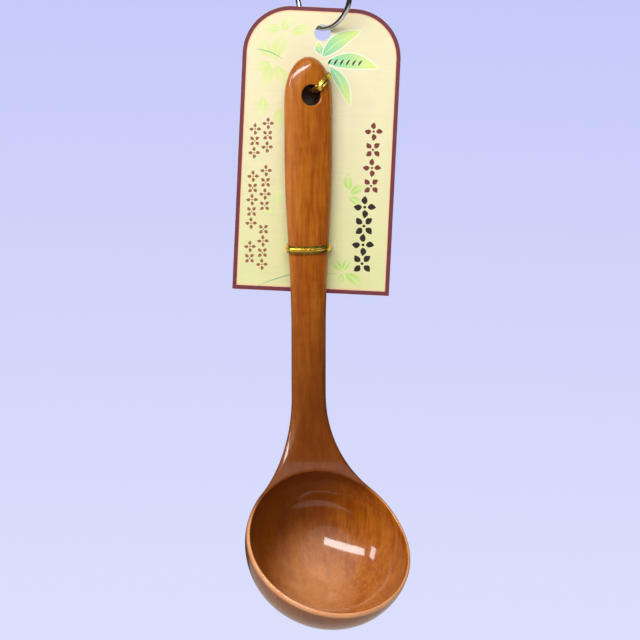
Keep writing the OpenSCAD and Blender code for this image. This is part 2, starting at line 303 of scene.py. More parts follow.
@dataclass(frozen=True)
class LacqueredWood:
    """Reddish-brown wood with lengthwise grain under a clear gloss lacquer, with painted shade
    and painted light laid into its colour.
    """

    dark: Color = srgb(144, 68, 8)
    middle: Color = srgb(172, 92, 14)
    light: Color = srgb(196, 118, 28)
    # A paler tone for painted light and painted highlights, also used for the worn rim.
    sheen_and_wear: Color = srgb(230, 162, 110)
    # Painted shade inside the eye.
    eye_shade: Color = srgb(46, 16, 6)
    # The painted shade tone, laid on the hollow and the neck.
    deep: Color = srgb(100, 42, 0)
    fibre: Grain = Grain((700.0, 700.0, 60.0), 5.0, 0.6, 0.2)
    streak: Grain = Grain((190.0, 190.0, 16.0), 4.0, 0.55, 0.5)
    figure: Grain = Grain((60.0, 60.0, 26.0), 4.0, 0.55, 0.9)
    cloud: Grain = Grain((20.0, 20.0, 12.0), 2.0, 0.5)
    ripple: Grain = Grain((110.0, 110.0, 260.0), 3.0, 0.5, 0.6)
    pore: Grain = Grain((1500.0, 1500.0, 60.0), 2.0, 0.5)
    light_and_wear_layer: str = "light_and_wear"

    def material(self) -> bpy.types.Material:
        """Builds the material.

        Returns:
            The wood material, whose grain runs along the object's Z.
        """
        s = Shader("lacquered_wood")
        fibre, streak, cloud = s.noise(self.fibre), s.noise(self.streak), s.noise(self.cloud)
        tone = 0.36 * fibre + 0.26 * streak + 0.16 * s.noise(self.figure)
        tone = tone + 0.12 * cloud + 0.1 * s.noise(self.ripple)
        body = s.blend(tone.step(0.36, 0.58), self.dark, self.middle)
        body = s.blend(tone.step(0.44, 0.7), body, self.light)
        pores = s.noise(self.pore).step(0.58, 0.7)
        body = s.blend(0.3 * pores, body, self.dark)
        # The layer read here lays painted shade and painted light into the colour: its blue
        # channel darkens with painted shade, its red channel lightens with painted light and the
        # worn rim, and its green channel paints shade into the eye.
        marks = s.node("ShaderNodeAttribute", {"attribute_name": self.light_and_wear_layer})
        parts = s.node("ShaderNodeSeparateColor", {}, {0: marks.outputs["Color"]})
        body = s.blend(s.value(parts, 2), body, self.deep)
        # Painted light and the worn rim lighten the wood, with the grain showing through.
        worn = s.value(parts, 0) * (0.6 + 0.6 * streak)
        body = s.blend(worn, body, self.sheen_and_wear)
        body = s.blend(s.value(parts, 1), body, self.eye_shade)
        relief = 0.6 * fibre + 0.4 * (1 - pores)
        return s.finish(
            Base_Color=body,
            Roughness=0.32 + 0.14 * cloud,
            Specular_IOR_Level=0.15,
            Coat_Weight=1.0,
            Coat_Roughness=0.08,
            Coat_IOR=1.5,
            Normal=s.bump(relief, 0.00005, 0.5),
        )


@dataclass(frozen=True)
class PrintedCard:
    """Coated cream paperboard whose print is held in the mesh's ink colours."""

    tint: Color = srgb(150, 118, 70)
    laid: Grain = Grain((26.0, 26.0, 900.0), 2.0, 0.5)
    mottle: Grain = Grain((160.0, 160.0, 160.0), 5.0, 0.6)
    fibre: Grain = Grain((2600.0, 2600.0, 2600.0), 3.0, 0.6)
    ink_layer: str = "ink"

    def material(self) -> bpy.types.Material:
        """Builds the material.

        Returns:
            The card material.
        """
        s = Shader("printed_card")
        ink = s.node("ShaderNodeAttribute", {"attribute_name": self.ink_layer})
        laid, mottle, fibre = s.noise(self.laid), s.noise(self.mottle), s.noise(self.fibre)
        shade = (0.45 * laid + 0.35 * mottle + 0.2 * fibre).step(0.36, 0.64)
        return s.finish(
            Base_Color=s.blend(0.055 * (1 - shade), s.value(ink, "Color"), self.tint),
            Roughness=0.4 + 0.14 * mottle,
            Specular_IOR_Level=0.4,
            Coat_Weight=0.12,
            Coat_Roughness=0.3,
            Normal=s.bump(0.7 * fibre + 0.3 * laid, 0.00003, 0.5),
        )


@dataclass(frozen=True)
class GoldFoil:
    """Metallised film with a gold tint, creased along and across the tie."""

    tint: Color = srgb(255, 222, 104)
    deep: Color = srgb(214, 160, 48)
    crease: Grain = Grain((520.0, 520.0, 900.0), 5.0, 0.65, 0.8)
    fine: Grain = Grain((2400.0, 2400.0, 2400.0), 3.0, 0.6)
    worn: Grain = Grain((240.0, 240.0, 240.0), 3.0, 0.6)

    def material(self) -> bpy.types.Material:
        """Builds the material.

        Returns:
            The foil material.
        """
        s = Shader("gold_foil")
        crease, fine, worn = s.noise(self.crease), s.noise(self.fine), s.noise(self.worn)
        return s.finish(
            Base_Color=s.blend(worn.step(0.4, 0.62), self.tint, self.deep),
            Metallic=1.0,
            Roughness=0.14 + 0.2 * worn,
            Normal=s.bump(0.7 * crease + 0.3 * fine, 0.00022, 0.9),
        )


@dataclass(frozen=True)
class BarePlate:
    """A bare or plated metal with fine rub marks."""

    name: str
    tint: Color
    roughness: float
    marks: float
    rubs: Grain = Grain((1800.0, 1800.0, 240.0), 4.0, 0.65)
    haze: Grain = Grain((210.0, 210.0, 210.0), 4.0, 0.6)
    dulling: float = 0.82

    def material(self) -> bpy.types.Material:
        """Builds the material.

        Returns:
            The metal material.
        """
        s = Shader(self.name)
        rubs, haze = s.noise(self.rubs), s.noise(self.haze)
        dull = tuple(self.dulling * v for v in self.tint[:3]) + (1.0,)
        return s.finish(
            Base_Color=s.blend(haze.step(0.38, 0.66), self.tint, dull),
            Metallic=1.0,
            Roughness=self.roughness + self.marks * haze,
            Normal=s.bump(rubs, 0.00002, 0.35),
        )


@dataclass(frozen=True)
class PaleFloor:
    """A plain pale floor with a faint unevenness."""

    tone: Color = srgb(236, 228, 216)
    shade: Color = srgb(205, 192, 178)
    cloud: Grain = Grain((3.0, 3.0, 3.0), 3.0)

    def material(self) -> bpy.types.Material:
        """Builds the material.

        Returns:
            The floor material.
        """
        s = Shader("pale_floor")
        cloud = s.noise(self.cloud)
        return s.finish(
            Base_Color=s.blend(0.06 * cloud, self.tone, self.shade),
            Roughness=0.7 + 0.1 * cloud,
        )


# ---- Mesh helpers ----------


class Body(Enum):
    """The moving bodies that pieces ride on."""

    HOOK = "hook"
    HUNG = "hung_ladle"


def stand(name: str, data: bpy.types.ID) -> bpy.types.Object:
    """Puts a new object that holds the data into the scene."""
    made = bpy.data.objects.new(name, data)
    bpy.context.scene.collection.objects.link(made)
    return made


@dataclass
class Piece:
    """One visible piece and what it stands for."""

    name: str
    body: Body
    slot: str
    stands_for: str

    def make(
        self,
        points: np.ndarray,
        faces: Sequence[Sequence[int]],
        material: bpy.types.Material,
        place: Matrix,
        smooth: bool = True,
    ) -> bpy.types.Object:
        """Args:
            points: Vertex positions in the piece's own frame.
            faces: Vertex numbers of each face.
            material: The finish.
            place: Where the piece's own frame sits.
            smooth: Whether the faces shade smoothly.

        Returns:
            The new object.
        """
        mesh = bpy.data.meshes.new(self.name)
        mesh.from_pydata(np.asarray(points, float).tolist(), [], list(faces))
        mesh.validate()
        mesh.update()
        mesh.polygons.foreach_set("use_smooth", [smooth] * len(mesh.polygons))
        mesh.materials.append(material)
        made = stand(self.name, mesh)
        made.matrix_world = place
        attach(made, self.body.value)
        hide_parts(self.stands_for)
        log.info("%s: %d faces on %s", self.name, len(mesh.polygons), self.body.value)
        return made


def seat(points: np.ndarray, turn: Matrix, node: str) -> Matrix:
    """Places turned points so that their box is centred on a CAD node's box.

    Args:
        points: Positions in the piece's own frame.
        turn: The rotation of that frame.
        node: The CAD node's name.

    Returns:
        The piece's placement.
    """
    turned = np.asarray(points) @ np.array(turn.to_3x3()).T
    low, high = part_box(node)
    middle = (Vector(turned.min(0)) + Vector(turned.max(0))) / 2
    return Matrix.Translation((low + high) / 2 - middle) @ turn


def ease(t: np.ndarray | float) -> Any:
    """A smooth step from 0 at 0 to 1 at 1."""
    u = np.clip(t, 0.0, 1.0)
    return u * u * (3 - 2 * u)


def arc01(t: np.ndarray | float) -> Any:
    """A quarter circle from 0 at 0 to 1 at 1, rising steeply at first."""
    return np.sqrt(1 - (1 - np.clip(t, 0.0, 1.0)) ** 2)


def circle(count: int) -> np.ndarray:
    """Points round a circle of radius 1."""
    turn = np.linspace(0, 2 * math.pi, count, endpoint=False)
    return np.column_stack([np.cos(turn), np.sin(turn)])


def strip(near: Sequence[int], far: Sequence[int]) -> list[Face]:
    """Quads between two closed loops of points.

    Args:
        near: The first loop's vertex numbers.
        far: The second loop's, one for each of the first's.

    Returns:
        The quads' vertex numbers.
    """
    n = len(near)
    return [(near[i], near[(i + 1) % n], far[(i + 1) % n], far[i]) for i in range(n)]


def tube(rings: int, around: int) -> list[Face]:
    """Quads along a tube of rings, each with as many points around."""
    rows = [range(r * around, (r + 1) * around) for r in range(rings)]
    return [face for near, far in zip(rows, rows[1:]) for face in strip(near, far)]


# ---- The ladle ----------


@dataclass(frozen=True)
class LightAndWear:
    """How strongly painted shade, painted light and rim wear lie on each part of the ladle, 0 to
    1.
    """

    # Painted shade on the neck, front and back, darker from the grip towards the bowl.
    neck_shade: float = 0.74
    back_shade: float = 0.6
    neck_shade_from: float = 0.075
    neck_shade_over: float = 0.1
    # Painted shade on the hollow's side turned away from the light.
    shade: float = 0.9
    shade_from: float = 0.2
    shade_over: float = 1.05
    # A painted pool of light on the hollow's floor.
    floor_light_pool: float = 0.6
    floor_drop: float = 0.06
    floor_from: float = 0.15
    floor_over: float = 0.6
    # Painted light on the hollow's lit wall.
    wall_light: float = 0.22
    # A painted highlight along the handle's left side.
    side_highlight: float = 0.3
    side_from: float = 0.35
    # The rim's lighter edge, partly wear and partly painted highlight.
    rim_skip: float = 0.0002
    rim_from: float = 0.0005
    rim_over: float = 0.0004
    rim_fade: float = 0.02
    light_from: tuple[float, float] = (0.6, 0.8)


@dataclass
class Ladle:
    """The carved ladle: a crowned grip with an eye, a thin neck and a deep tilted bowl."""

    length: float = 0.2894
    oval: float = 1.04
    grip_half: float = 0.0124
    neck_half: float = 0.0088
    grip_front: float = 0.005
    grip_back: float = 0.0055
    shoulder_r: float = 0.064
    eye_r: float = 0.005
    eye_v: float = 0.0188 / 1.04
    bowl_r: float = 0.041
    rim_w: float = 0.0018
    bowl_depth: float = 0.0348
    hollow_depth: float = 0.0318
    bowl_power: float = 2.1
    bowl_tilt: float = math.radians(48.2)
    bend_start: float = 0.1505
    bend_end: float = 0.2617
    taper: tuple[float, float] = (0.045, 0.130)
    round_end: float = 0.0206
    grip_round: float = 0.008
    grip_back_round: float = 0.009
    rim_round: float = 0.0012
    lip_round: float = 0.0009
    eye_round: float = 0.0006
    blend_power: float = 2.5
    end_power: float = 2.0
    roll: float = math.radians(18.4)
    segs: int = 144
    neck_segs: int = 15
    rings: int = 44
    bands: int = 12
    leave_rows: int = 15
    neck_rows: int = 34
    grip_rows: int = 56
    eye_rows: int = 18
    end_rows: int = 22
    eye_rings: int = 9
    eye_block: float = 0.0078
    eye_walls: int = 8
    table_size: int = 1201
    fade_from: float = 0.050
    fade_over: float = 0.060
    back_fade_from: float = 0.005
    back_fade_short: float = 0.015
    neck_gap: float = 0.007
    nudge: float = 0.00005
    light_and_wear: LightAndWear = LightAndWear()
    finish: LacqueredWood = field(default_factory=LacqueredWood)

    def __post_init__(self) -> None:
        """Works out the derived places along the centre line."""
        flat_length = self.length / self.oval
        self.bowl_v = flat_length - self.bowl_r
        self.hollow_r = self.bowl_r - self.rim_w
        self.shoulder_x = self.neck_half + self.shoulder_r
        self.gap = math.sqrt(
            (self.bowl_r + self.shoulder_r) ** 2 - self.shoulder_x**2
        )
        self.shoulder_v = self.bowl_v - self.gap
        self.touch_v = self.bowl_v - self.gap * self.bowl_r / (
            self.bowl_r + self.shoulder_r
        )
        self.touch_angle = math.atan2(self.shoulder_x, self.gap)
        self.cols = 2 * self.bands + 2 * self.neck_segs + 1
        self.side = self.segs - 2 * self.neck_segs + 1
        self.band_base = 1 + self.rings * self.segs
        self.row_base = self.band_base + self.bands * self.side
        self.eye_row = self.leave_rows + self.neck_rows + self.grip_rows
        self.straight = np.cos(math.pi * np.arange(self.cols) / (self.cols - 1))
        table = np.linspace(0, flat_length, self.table_size)
        tilt = self.tilt(table)
        step = np.diff(table) * self.oval
        middle = (tilt[1:] + tilt[:-1]) / 2
        self.table = table
        self.forward = np.concatenate([[0], np.cumsum(np.sin(middle) * step)])
        self.down = np.concatenate([[0], np.cumsum(np.cos(middle) * step)])

    def tilt(self, v: np.ndarray) -> np.ndarray:
        """The forward tilt of the centre line at distances v from the grip's end."""
        return self.bowl_tilt * ease(
            (v * self.oval - self.bend_start) / (self.bend_end - self.bend_start)
        )

    def width(self, v: np.ndarray) -> np.ndarray:
        """Half the ladle's width.

        Args:
            v: Distances from the grip's end.

        Returns:
            The half width at each distance.
        """
        start, end = self.taper
        share = ease((v - start) / (end - start))
        grip = self.grip_half + (self.neck_half - self.grip_half) * share
        grip = grip * np.sqrt(
            1 - (1 - np.clip(v / self.round_end, 0, 1)) ** self.end_power
        )
        curve = self.shoulder_x - np.sqrt(
            np.clip(self.shoulder_r**2 - (v - self.shoulder_v) ** 2, 0, None)
        )
        bowl = np.sqrt(np.clip(self.bowl_r**2 - (v - self.bowl_v) ** 2, 0, None))
        return np.where(
            v < self.shoulder_v, grip, np.where(v < self.touch_v, curve, bowl)
        )

    def handle_share(self, v: np.ndarray) -> np.ndarray:
        """1 along the handle, falling to 0 at the bowl."""
        return 1 - ease((v - (self.bowl_v - self.bowl_r - self.fade_from)) / self.fade_over)

    def back_share(self, v: np.ndarray) -> np.ndarray:
        """1 behind the handle, falling to 0 behind the bowl."""
        start = self.bowl_v - self.bowl_r - self.back_fade_from
        return 1 - ease((v - start) / (self.bowl_r - self.back_fade_short))

    def inset(self, x: np.ndarray, v: np.ndarray) -> np.ndarray:
        """The distance inwards from the outline."""
        low, high = np.maximum(v - self.nudge, 0), v + self.nudge
        slope = (self.width(high) - self.width(low)) / (2 * self.nudge)
        straight = (self.width(v) - np.abs(x)) / np.sqrt(1 + slope**2)
        round_bowl = self.bowl_r - np.hypot(x, v - self.bowl_v)
        return np.where(v > self.touch_v, round_bowl, straight)

    def dish(self, d: np.ndarray, radius: float, depth: float) -> np.ndarray:
        """The depth of a bowl shape: full at its centre, 0 at its radius."""
        fill = np.clip(1 - np.clip(d / radius, 0, 1) ** self.bowl_power, 0, None)
        return depth * fill ** (1 / self.bowl_power)

    def edge_n(self, v: np.ndarray) -> np.ndarray:
        """The height of the outline's edge."""
        return -self.rim_round * (1 - self.handle_share(v))

    def eye_drop(self, x: np.ndarray, v: np.ndarray) -> np.ndarray:
        """How far the rounded lip of the eye falls away."""
        d = np.hypot(x, v - self.eye_v) - self.eye_r
        return self.eye_round * (1 - arc01(d / self.eye_round))

    def front_n(self, x: np.ndarray, v: np.ndarray) -> np.ndarray:
        """The height of the front face, down into the bowl.

        Args:
            x: Distances across the ladle.
            v: Distances from the grip's end.

        Returns:
            The height in front of the centre line's plane at each place.
        """
        d = np.hypot(x, v - self.bowl_v)
        share = self.handle_share(v)
        soft = self.rim_round + (self.grip_round - self.rim_round) * share
        edge = self.edge_n(v)
        land = edge + (self.grip_front * share - edge) * arc01(self.inset(x, v) / soft)
        land = land - self.lip_round * (
            1 - arc01((d - self.hollow_r) / self.lip_round)
        )
        hollow = -self.lip_round - self.dish(d, self.hollow_r, self.hollow_depth)
        inside = d < self.hollow_r - 1e-7
        return np.where(inside, hollow, land) - self.eye_drop(x, v)

    def back_n(self, x: np.ndarray, v: np.ndarray) -> np.ndarray:
        """The height of the back face.

        Args:
            x: Distances across the ladle.
            v: Distances from the grip's end.

        Returns:
            The height in front of the centre line's plane at each place.
        """
        d = np.minimum(np.hypot(x, v - self.bowl_v), self.bowl_r)
        handle = (
            self.grip_back
            * self.back_share(v)
            * arc01(self.inset(x, v) / self.grip_back_round)
        )
        bowl = self.dish(d, self.bowl_r, self.bowl_depth)
        power = self.blend_power
        depth = (handle**power + bowl**power) ** (1 / power)
        return self.edge_n(v) - depth + self.eye_drop(x, v)

    def bend(self, x: np.ndarray, n: np.ndarray, v: np.ndarray) -> np.ndarray:
        """Carries flat places onto the bent centre line.

        Args:
            x: Distance across the ladle.
            n: Height in front of the centre line's plane.
            v: Distance down the ladle.

        Returns:
            Positions in the ladle's own frame, with the grip's end at its origin.
        """
        t = self.tilt(v)
        forward = np.interp(v, self.table, self.forward)
        down = np.interp(v, self.table, self.down)
        return np.column_stack(
            [x, -forward - n * np.cos(t), -down + n * np.sin(t)]
        )

    def reach(self, angle: np.ndarray) -> np.ndarray:
        """The distance from the bowl's centre to the outline at an angle from the neck."""
        b = self.shoulder_x * np.abs(np.sin(angle)) + self.gap * np.cos(angle)
        c = self.bowl_r**2 + 2 * self.bowl_r * self.shoulder_r
        off = np.abs((angle + math.pi) % (2 * math.pi) - math.pi)
        near = b - np.sqrt(np.clip(b * b - c, 0, None))
        return np.where(off < self.touch_angle, near, self.bowl_r)

    def polar(self, angle: np.ndarray, radius: np.ndarray) -> np.ndarray:
        """Flat places at an angle and a distance from the bowl's centre."""
        return np.column_stack(
            [radius * np.sin(angle), self.bowl_v - radius * np.cos(angle)]
        )

    def ring_at(self, k: int, i: int) -> int:
        """The point of ring k at segment i."""
        return 0 if k == 0 else 1 + (k - 1) * self.segs + i % self.segs

    def band_at(self, k: int, i: int) -> int:
        """The point of band k at segment i; band 0 is the hollow's edge."""
        if k == 0:
            return self.ring_at(self.rings, i)
        return self.band_base + (k - 1) * self.side + i - self.neck_segs

    def row_at(self, r: int, j: int) -> int:
        """The point of the handle's grid at a row and a column.

        Args:
            r: The row; row 0 follows the hollow's edge.
            j: The column.

        Returns:
            The point's number.
        """
        if r > 0:
            return self.row_base + (r - 1) * self.cols + j
        if j < self.bands:
            return self.band_at(self.bands - j, self.neck_segs)
        over = j - (self.cols - 1 - self.bands)
        if over > 0:
            return self.band_at(over, self.segs - self.neck_segs)
        return self.ring_at(self.rings, self.neck_segs + self.bands - j)

    def bowl_places(self) -> np.ndarray:
        """Lays out the bowl's centre, the rings of its hollow and the bands round it.

        Returns:
            Their flat [x, v] places.
        """
        turn = 2 * math.pi * np.arange(self.segs) / self.segs
        blocks = [np.array([[0.0, self.bowl_v]])]
        for k in range(1, self.rings + 1):
            radius = self.hollow_r * math.sin(math.pi / 2 * k / self.rings)
            blocks.append(self.polar(turn, np.full(self.segs, radius)))
        arc = turn[np.arange(self.neck_segs, self.segs - self.neck_segs + 1)]
        out = self.reach(arc) - self.hollow_r
        for u in (1 - np.cos(math.pi * np.arange(1, self.bands + 1) / self.bands)) / 2:
            blocks.append(self.polar(arc, self.hollow_r + out * u))
        return np.vstack(blocks)

    def handle_places(self, first: np.ndarray) -> list[np.ndarray]:
        """Lays out the rows up the handle.

        Args:
            first: The places of row 0, on the hollow's edge.

        Returns:
            Each row's flat [x, v] places.
        """
        neck_v = self.bowl_v - self.hollow_r - self.neck_gap
        start = first[:, 0] / self.width(first[:, 1])
        rows = []
        for s in (np.arange(1, self.leave_rows + 1) / self.leave_rows) ** 2:
            v = first[:, 1] + (neck_v - first[:, 1]) * s
            wide = self.width(v) * (start + (self.straight - start) * s)
            rows.append(np.column_stack([wide, v]))
        top, low = self.eye_v - self.eye_block, self.eye_v + self.eye_block
        ends = (neck_v, self.taper[1], low, top)
        counts = (self.neck_rows, self.grip_rows, self.eye_rows)
        spans = [np.linspace(a, b, n + 1)[1:] for a, b, n in zip(ends, ends[1:], counts)]
        end = np.sin(math.pi / 2 * np.arange(1, self.end_rows) / self.end_rows)
        for v in np.concatenate([*spans, top * (1 - end)]):
            wide = float(self.width(np.array([v]))[0])
            rows.append(np.column_stack([wide * self.straight, np.full(self.cols, v)]))
        return rows

    def eye_columns(self) -> tuple[int, int]:
        """The first and the last column of the block round the eye."""
        inner = np.where(np.abs(self.grip_half * self.straight) < self.eye_block)[0]
        return int(inner[0]), int(inner[-1])

    def grid_faces(self, count: int, tip: int) -> list[Face]:
        """The faces of the bowl and the handle, without the block round the eye.

        Args:
            count: How many rows the handle has.
            tip: The number of the point at the grip's end.

        Returns:
            The faces.
        """
        faces: list[Face] = [
            (0, self.ring_at(1, i), self.ring_at(1, i + 1)) for i in range(self.segs)
        ]
        grids = (
            (self.ring_at, range(1, self.rings), range(self.segs)),
            (self.band_at, range(self.bands), range(self.neck_segs, self.segs - self.neck_segs)),
        )
        faces += [
            (at(k, i), at(k + 1, i), at(k + 1, i + 1), at(k, i + 1))
            for at, outward, sideways in grids
            for k in outward
            for i in sideways
        ]
        at = self.row_at
        j0, j1 = self.eye_columns()
        eye_rows = range(self.eye_row, self.eye_row + self.eye_rows)
        faces += [
            (at(r, j), at(r, j + 1), at(r + 1, j + 1), at(r + 1, j))
            for r in range(count)
            for j in range(self.cols - 1)
            if not (r in eye_rows and j0 <= j < j1)
        ]
        return faces + [(at(count, j), at(count, j + 1), tip) for j in range(self.cols - 1)]

    def plan(self) -> tuple[np.ndarray, list[Face], set[int], list[int]]:
        """Lays out the flat grid that the front and the back share.

        Returns:
            The flat [x, v] places, the faces, the outline's points and the eye's ring.
        """
        at = self.row_at
        flat = self.bowl_places()
        rows = self.handle_places(flat[[at(0, j) for j in range(self.cols)]])
        flat = np.vstack([flat, *rows, np.zeros((1, 2))])
        count, tip = len(rows), len(flat) - 1
        faces = self.grid_faces(count, tip)
        j0, j1 = self.eye_columns()
        r0, r1 = self.eye_row, self.eye_row + self.eye_rows
        loop = (
            [at(r0, j) for j in range(j0, j1)]
            + [at(r, j1) for r in range(r0, r1)]
            + [at(r1, j) for j in range(j1, j0, -1)]
            + [at(r, j0) for r in range(r1, r0, -1)]
        )
        corner = flat[loop]
        away = np.arctan2(corner[:, 1] - self.eye_v, corner[:, 0])
        eye = np.column_stack(
            [self.eye_r * np.cos(away), self.eye_v + self.eye_r * np.sin(away)]
        )
        for k in range(1, self.eye_rings + 1):
            s = 1 - (1 - k / self.eye_rings) ** 2
            ring = list(range(len(flat), len(flat) + len(loop)))
            flat = np.vstack([flat, corner + (eye - corner) * s])
            faces += strip(loop, ring)
            loop = ring
        outline = {tip, *range(self.row_base - self.side, self.row_base)}
        for r in range(1, count + 1):
            outline |= {at(r, 0), at(r, self.cols - 1)}
        return flat, faces, outline, loop

    def build(self) -> bpy.types.Object:
        """Builds and dresses the ladle.

        Returns:
            The ladle.
        """
        flat, faces, outline, eye = self.plan()
        x, v = flat[:, 0], flat[:, 1]
        count = len(flat)
        on_edge = np.zeros(count, bool)
        on_edge[list(outline)] = True
        front = np.where(on_edge, self.edge_n(v), self.front_n(x, v))
        back = self.back_n(x, v)
        points = np.vstack([self.bend(x, front, v), self.bend(x, back, v)])
        behind = np.where(on_edge, np.arange(count), np.arange(count) + count)
        all_faces = [tuple(reversed(f)) for f in faces]
        all_faces += [tuple(int(behind[q]) for q in f) for f in faces]
        rows = [eye]
        for k in range(1, self.eye_walls):
            height = front[eye] + (back[eye] - front[eye]) * (k / self.eye_walls)
            rows.append(list(range(len(points), len(points) + len(eye))))
            points = np.vstack([points, self.bend(x[eye], height, v[eye])])
        rows.append([int(behind[q]) for q in eye])
        for near, far in zip(rows, rows[1:]):
            all_faces += strip(far, near)
        turn = Matrix.Rotation(SETTLE, 4, "Y") @ Matrix.Rotation(self.roll, 4, "Z")
        piece = Piece("ladle_body", Body.HUNG, "lacquered_wood", "ladle")
        made = piece.make(
            points, all_faces, self.finish.material(), seat(points, turn, "ladle")
        )
        self.paint_light_and_wear(made, x, v)
        return made

    def paint_light_and_wear(self, ladle: bpy.types.Object, x: np.ndarray, v: np.ndarray) -> None:
        """Lays painted shade on the neck, the hollow and the eye, painted light on the hollow
        and the handle's left side, and a lighter rim that is partly wear and partly painted
        highlight.

        Args:
            ladle: The ladle.
            x: Each plan point's distance across.
            v: Each plan point's distance down the ladle.
        """
        w, count = self.light_and_wear, len(x)
        on_rim = np.hypot(x, v - self.bowl_v) - (self.hollow_r - w.rim_skip)
        rim = (on_rim > 0) & (v > self.touch_v)
        hollow = on_rim <= 0
        # Painted shade on the neck, darker towards the bowl.
        neck_shade_ramp = ease((v - w.neck_shade_from) / w.neck_shade_over)
        across, along = x / self.hollow_r, (v - self.bowl_v) / self.hollow_r
        lit = w.light_from[0] * across + w.light_from[1] * along
        # Painted shade on the hollow's side turned away from the light.
        shaded = w.shade * ease((w.shade_from - lit) / w.shade_over)
        # A painted pool of light on the hollow's floor.
        from_floor = np.hypot(across, along - w.floor_drop)
        sheen_and_wear = w.floor_light_pool * (1 - ease((from_floor - w.floor_from) / w.floor_over))
        # Painted light on the hollow's lit wall.
        sheen_and_wear = np.maximum(sheen_and_wear, w.wall_light * ease(lit))
        # The rim's lighter edge, partly wear and partly painted highlight.
        edge = ease((on_rim - w.rim_from) / w.rim_over) * ease((v - self.touch_v) / w.rim_fade)
        # A painted highlight along the handle's left side.
        side = w.side_highlight * ease(-x / self.grip_half - w.side_from) * self.handle_share(v)
        marks = np.zeros((len(ladle.data.vertices), 4))
        marks[:count, 0] = np.where(rim, edge, np.where(hollow, sheen_and_wear, side))
        marks[:count, 2] = np.where(hollow | rim, shaded, w.neck_shade * neck_shade_ramp)
        marks[:count, 2] *= 1 - marks[:count, 0]
        marks[count : 2 * count, 2] = w.back_shade * neck_shade_ramp
        # Painted shade on the eye's wall.
        marks[2 * count :, 1] = 1.0
        layer = ladle.data.color_attributes.new(
            self.finish.light_and_wear_layer, "FLOAT_COLOR", "POINT"
        )
        layer.data.foreach_set("color", marks.astype(np.float32).ravel())


# ---- The hang card ----------


class Ink(Enum):
    """The inks of the card's print, and a painted shadow."""

    GROUND = srgb(234, 226, 186)
    GREEN_WASH = srgb(222, 222, 162)
    BORDER = srgb(112, 44, 58)
    LINE = srgb(242, 200, 158)
    HALO = srgb(243, 241, 222)
    LEAF = srgb(140, 216, 166)
    TIP = srgb(222, 238, 138)
    RIB = srgb(226, 238, 178)
    FAINT = srgb(216, 230, 146)
    SPRIG = srgb(178, 222, 104)
    TORN = srgb(208, 206, 216)
    PALE_TIP = srgb(232, 230, 180)
    STEM = srgb(132, 184, 140)
    BROWN = srgb(150, 92, 66)
    MAROON = srgb(120, 48, 42)
    BLACK = srgb(30, 24, 22)
    BACK = srgb(222, 217, 202)
    # A painted shadow behind the ladle's eye, seen through it.
    EYE_SHADOW = srgb(52, 20, 10)


@dataclass(frozen=True)
class Shape:
    """A printed shape: its outline, and its ink at each end of its length."""

    outline: np.ndarray
    ink: Ink
    tip_ink: Ink | None = None
    base: tuple[float, float] = (0.0, 0.0)
    tip: tuple[float, float] = (0.0, 1.0)

    def covers(self, spots: np.ndarray) -> np.ndarray:
        """Which spots lie inside the outline.

        Args:
            spots: Flat positions.

        Returns:
            A true or false for each spot.
        """
        inside = np.zeros(len(spots), bool)
        ends = np.roll(self.outline, -1, axis=0)
        for (ax, az), (bx, bz) in zip(self.outline, ends):
            crosses = (az > spots[:, 1]) != (bz > spots[:, 1])
            if not crosses.any():
                continue
            at = ax + (spots[:, 1] - az) / (bz - az + 1e-15) * (bx - ax)
            inside ^= crosses & (spots[:, 0] < at)
        return inside

    def colors(self, spots: np.ndarray) -> np.ndarray:
        """The ink at each spot.

        Args:
            spots: Flat positions.

        Returns:
            One colour for each spot.
        """
        start = np.array(self.ink.value)
        if self.tip_ink is None:
            return np.tile(start, (len(spots), 1))
        base, tip = np.array(self.base), np.array(self.tip)
        way = tip - base
        share = ease(((spots - base) @ way) / (way @ way))[:, None]
        return start + (np.array(self.tip_ink.value) - start) * share


def leaf_outline(
    base: Sequence[float], angle: float, length: float, width: float, grow: float = 0.0
) -> np.ndarray:
    """The outline of a pointed leaf, from measures in millimetres.

    Args:
        base: Where the leaf meets its stem.
        angle: The direction it points in, in degrees from +X.
        length: Its length.
        width: Its greatest width.
        grow: How much wider it is made all round.

    Returns:
        The outline's points, in metres.
    """
    base, length, width, grow = np.array(base) * MM, length * MM, width * MM, grow * MM
    t = np.linspace(0, 1, 19)
    half = width / 2 * np.sin(math.pi * t**0.85) ** 0.9 + grow * np.sin(math.pi * t) ** 0.3
    along = -grow + (length + 2 * grow) * t
    bow = 0.08 * length * np.sin(math.pi * t)
    upper = np.column_stack([along, bow + half])
    lower = np.column_stack([along, bow - half])[::-1][1:-1]
    local = np.vstack([upper, lower])
    c, s = math.cos(math.radians(angle)), math.sin(math.radians(angle))
    return local @ np.array([[c, s], [-s, c]]) + base


def lozenge_outline(centre: Sequence[float], size: float) -> np.ndarray:
    """The outline, in metres, of a lozenge measured in millimetres."""
    way = circle(16)
    return np.sign(way) * np.abs(way) ** 1.5 * (size * MM) / 2 + np.array(centre) * MM


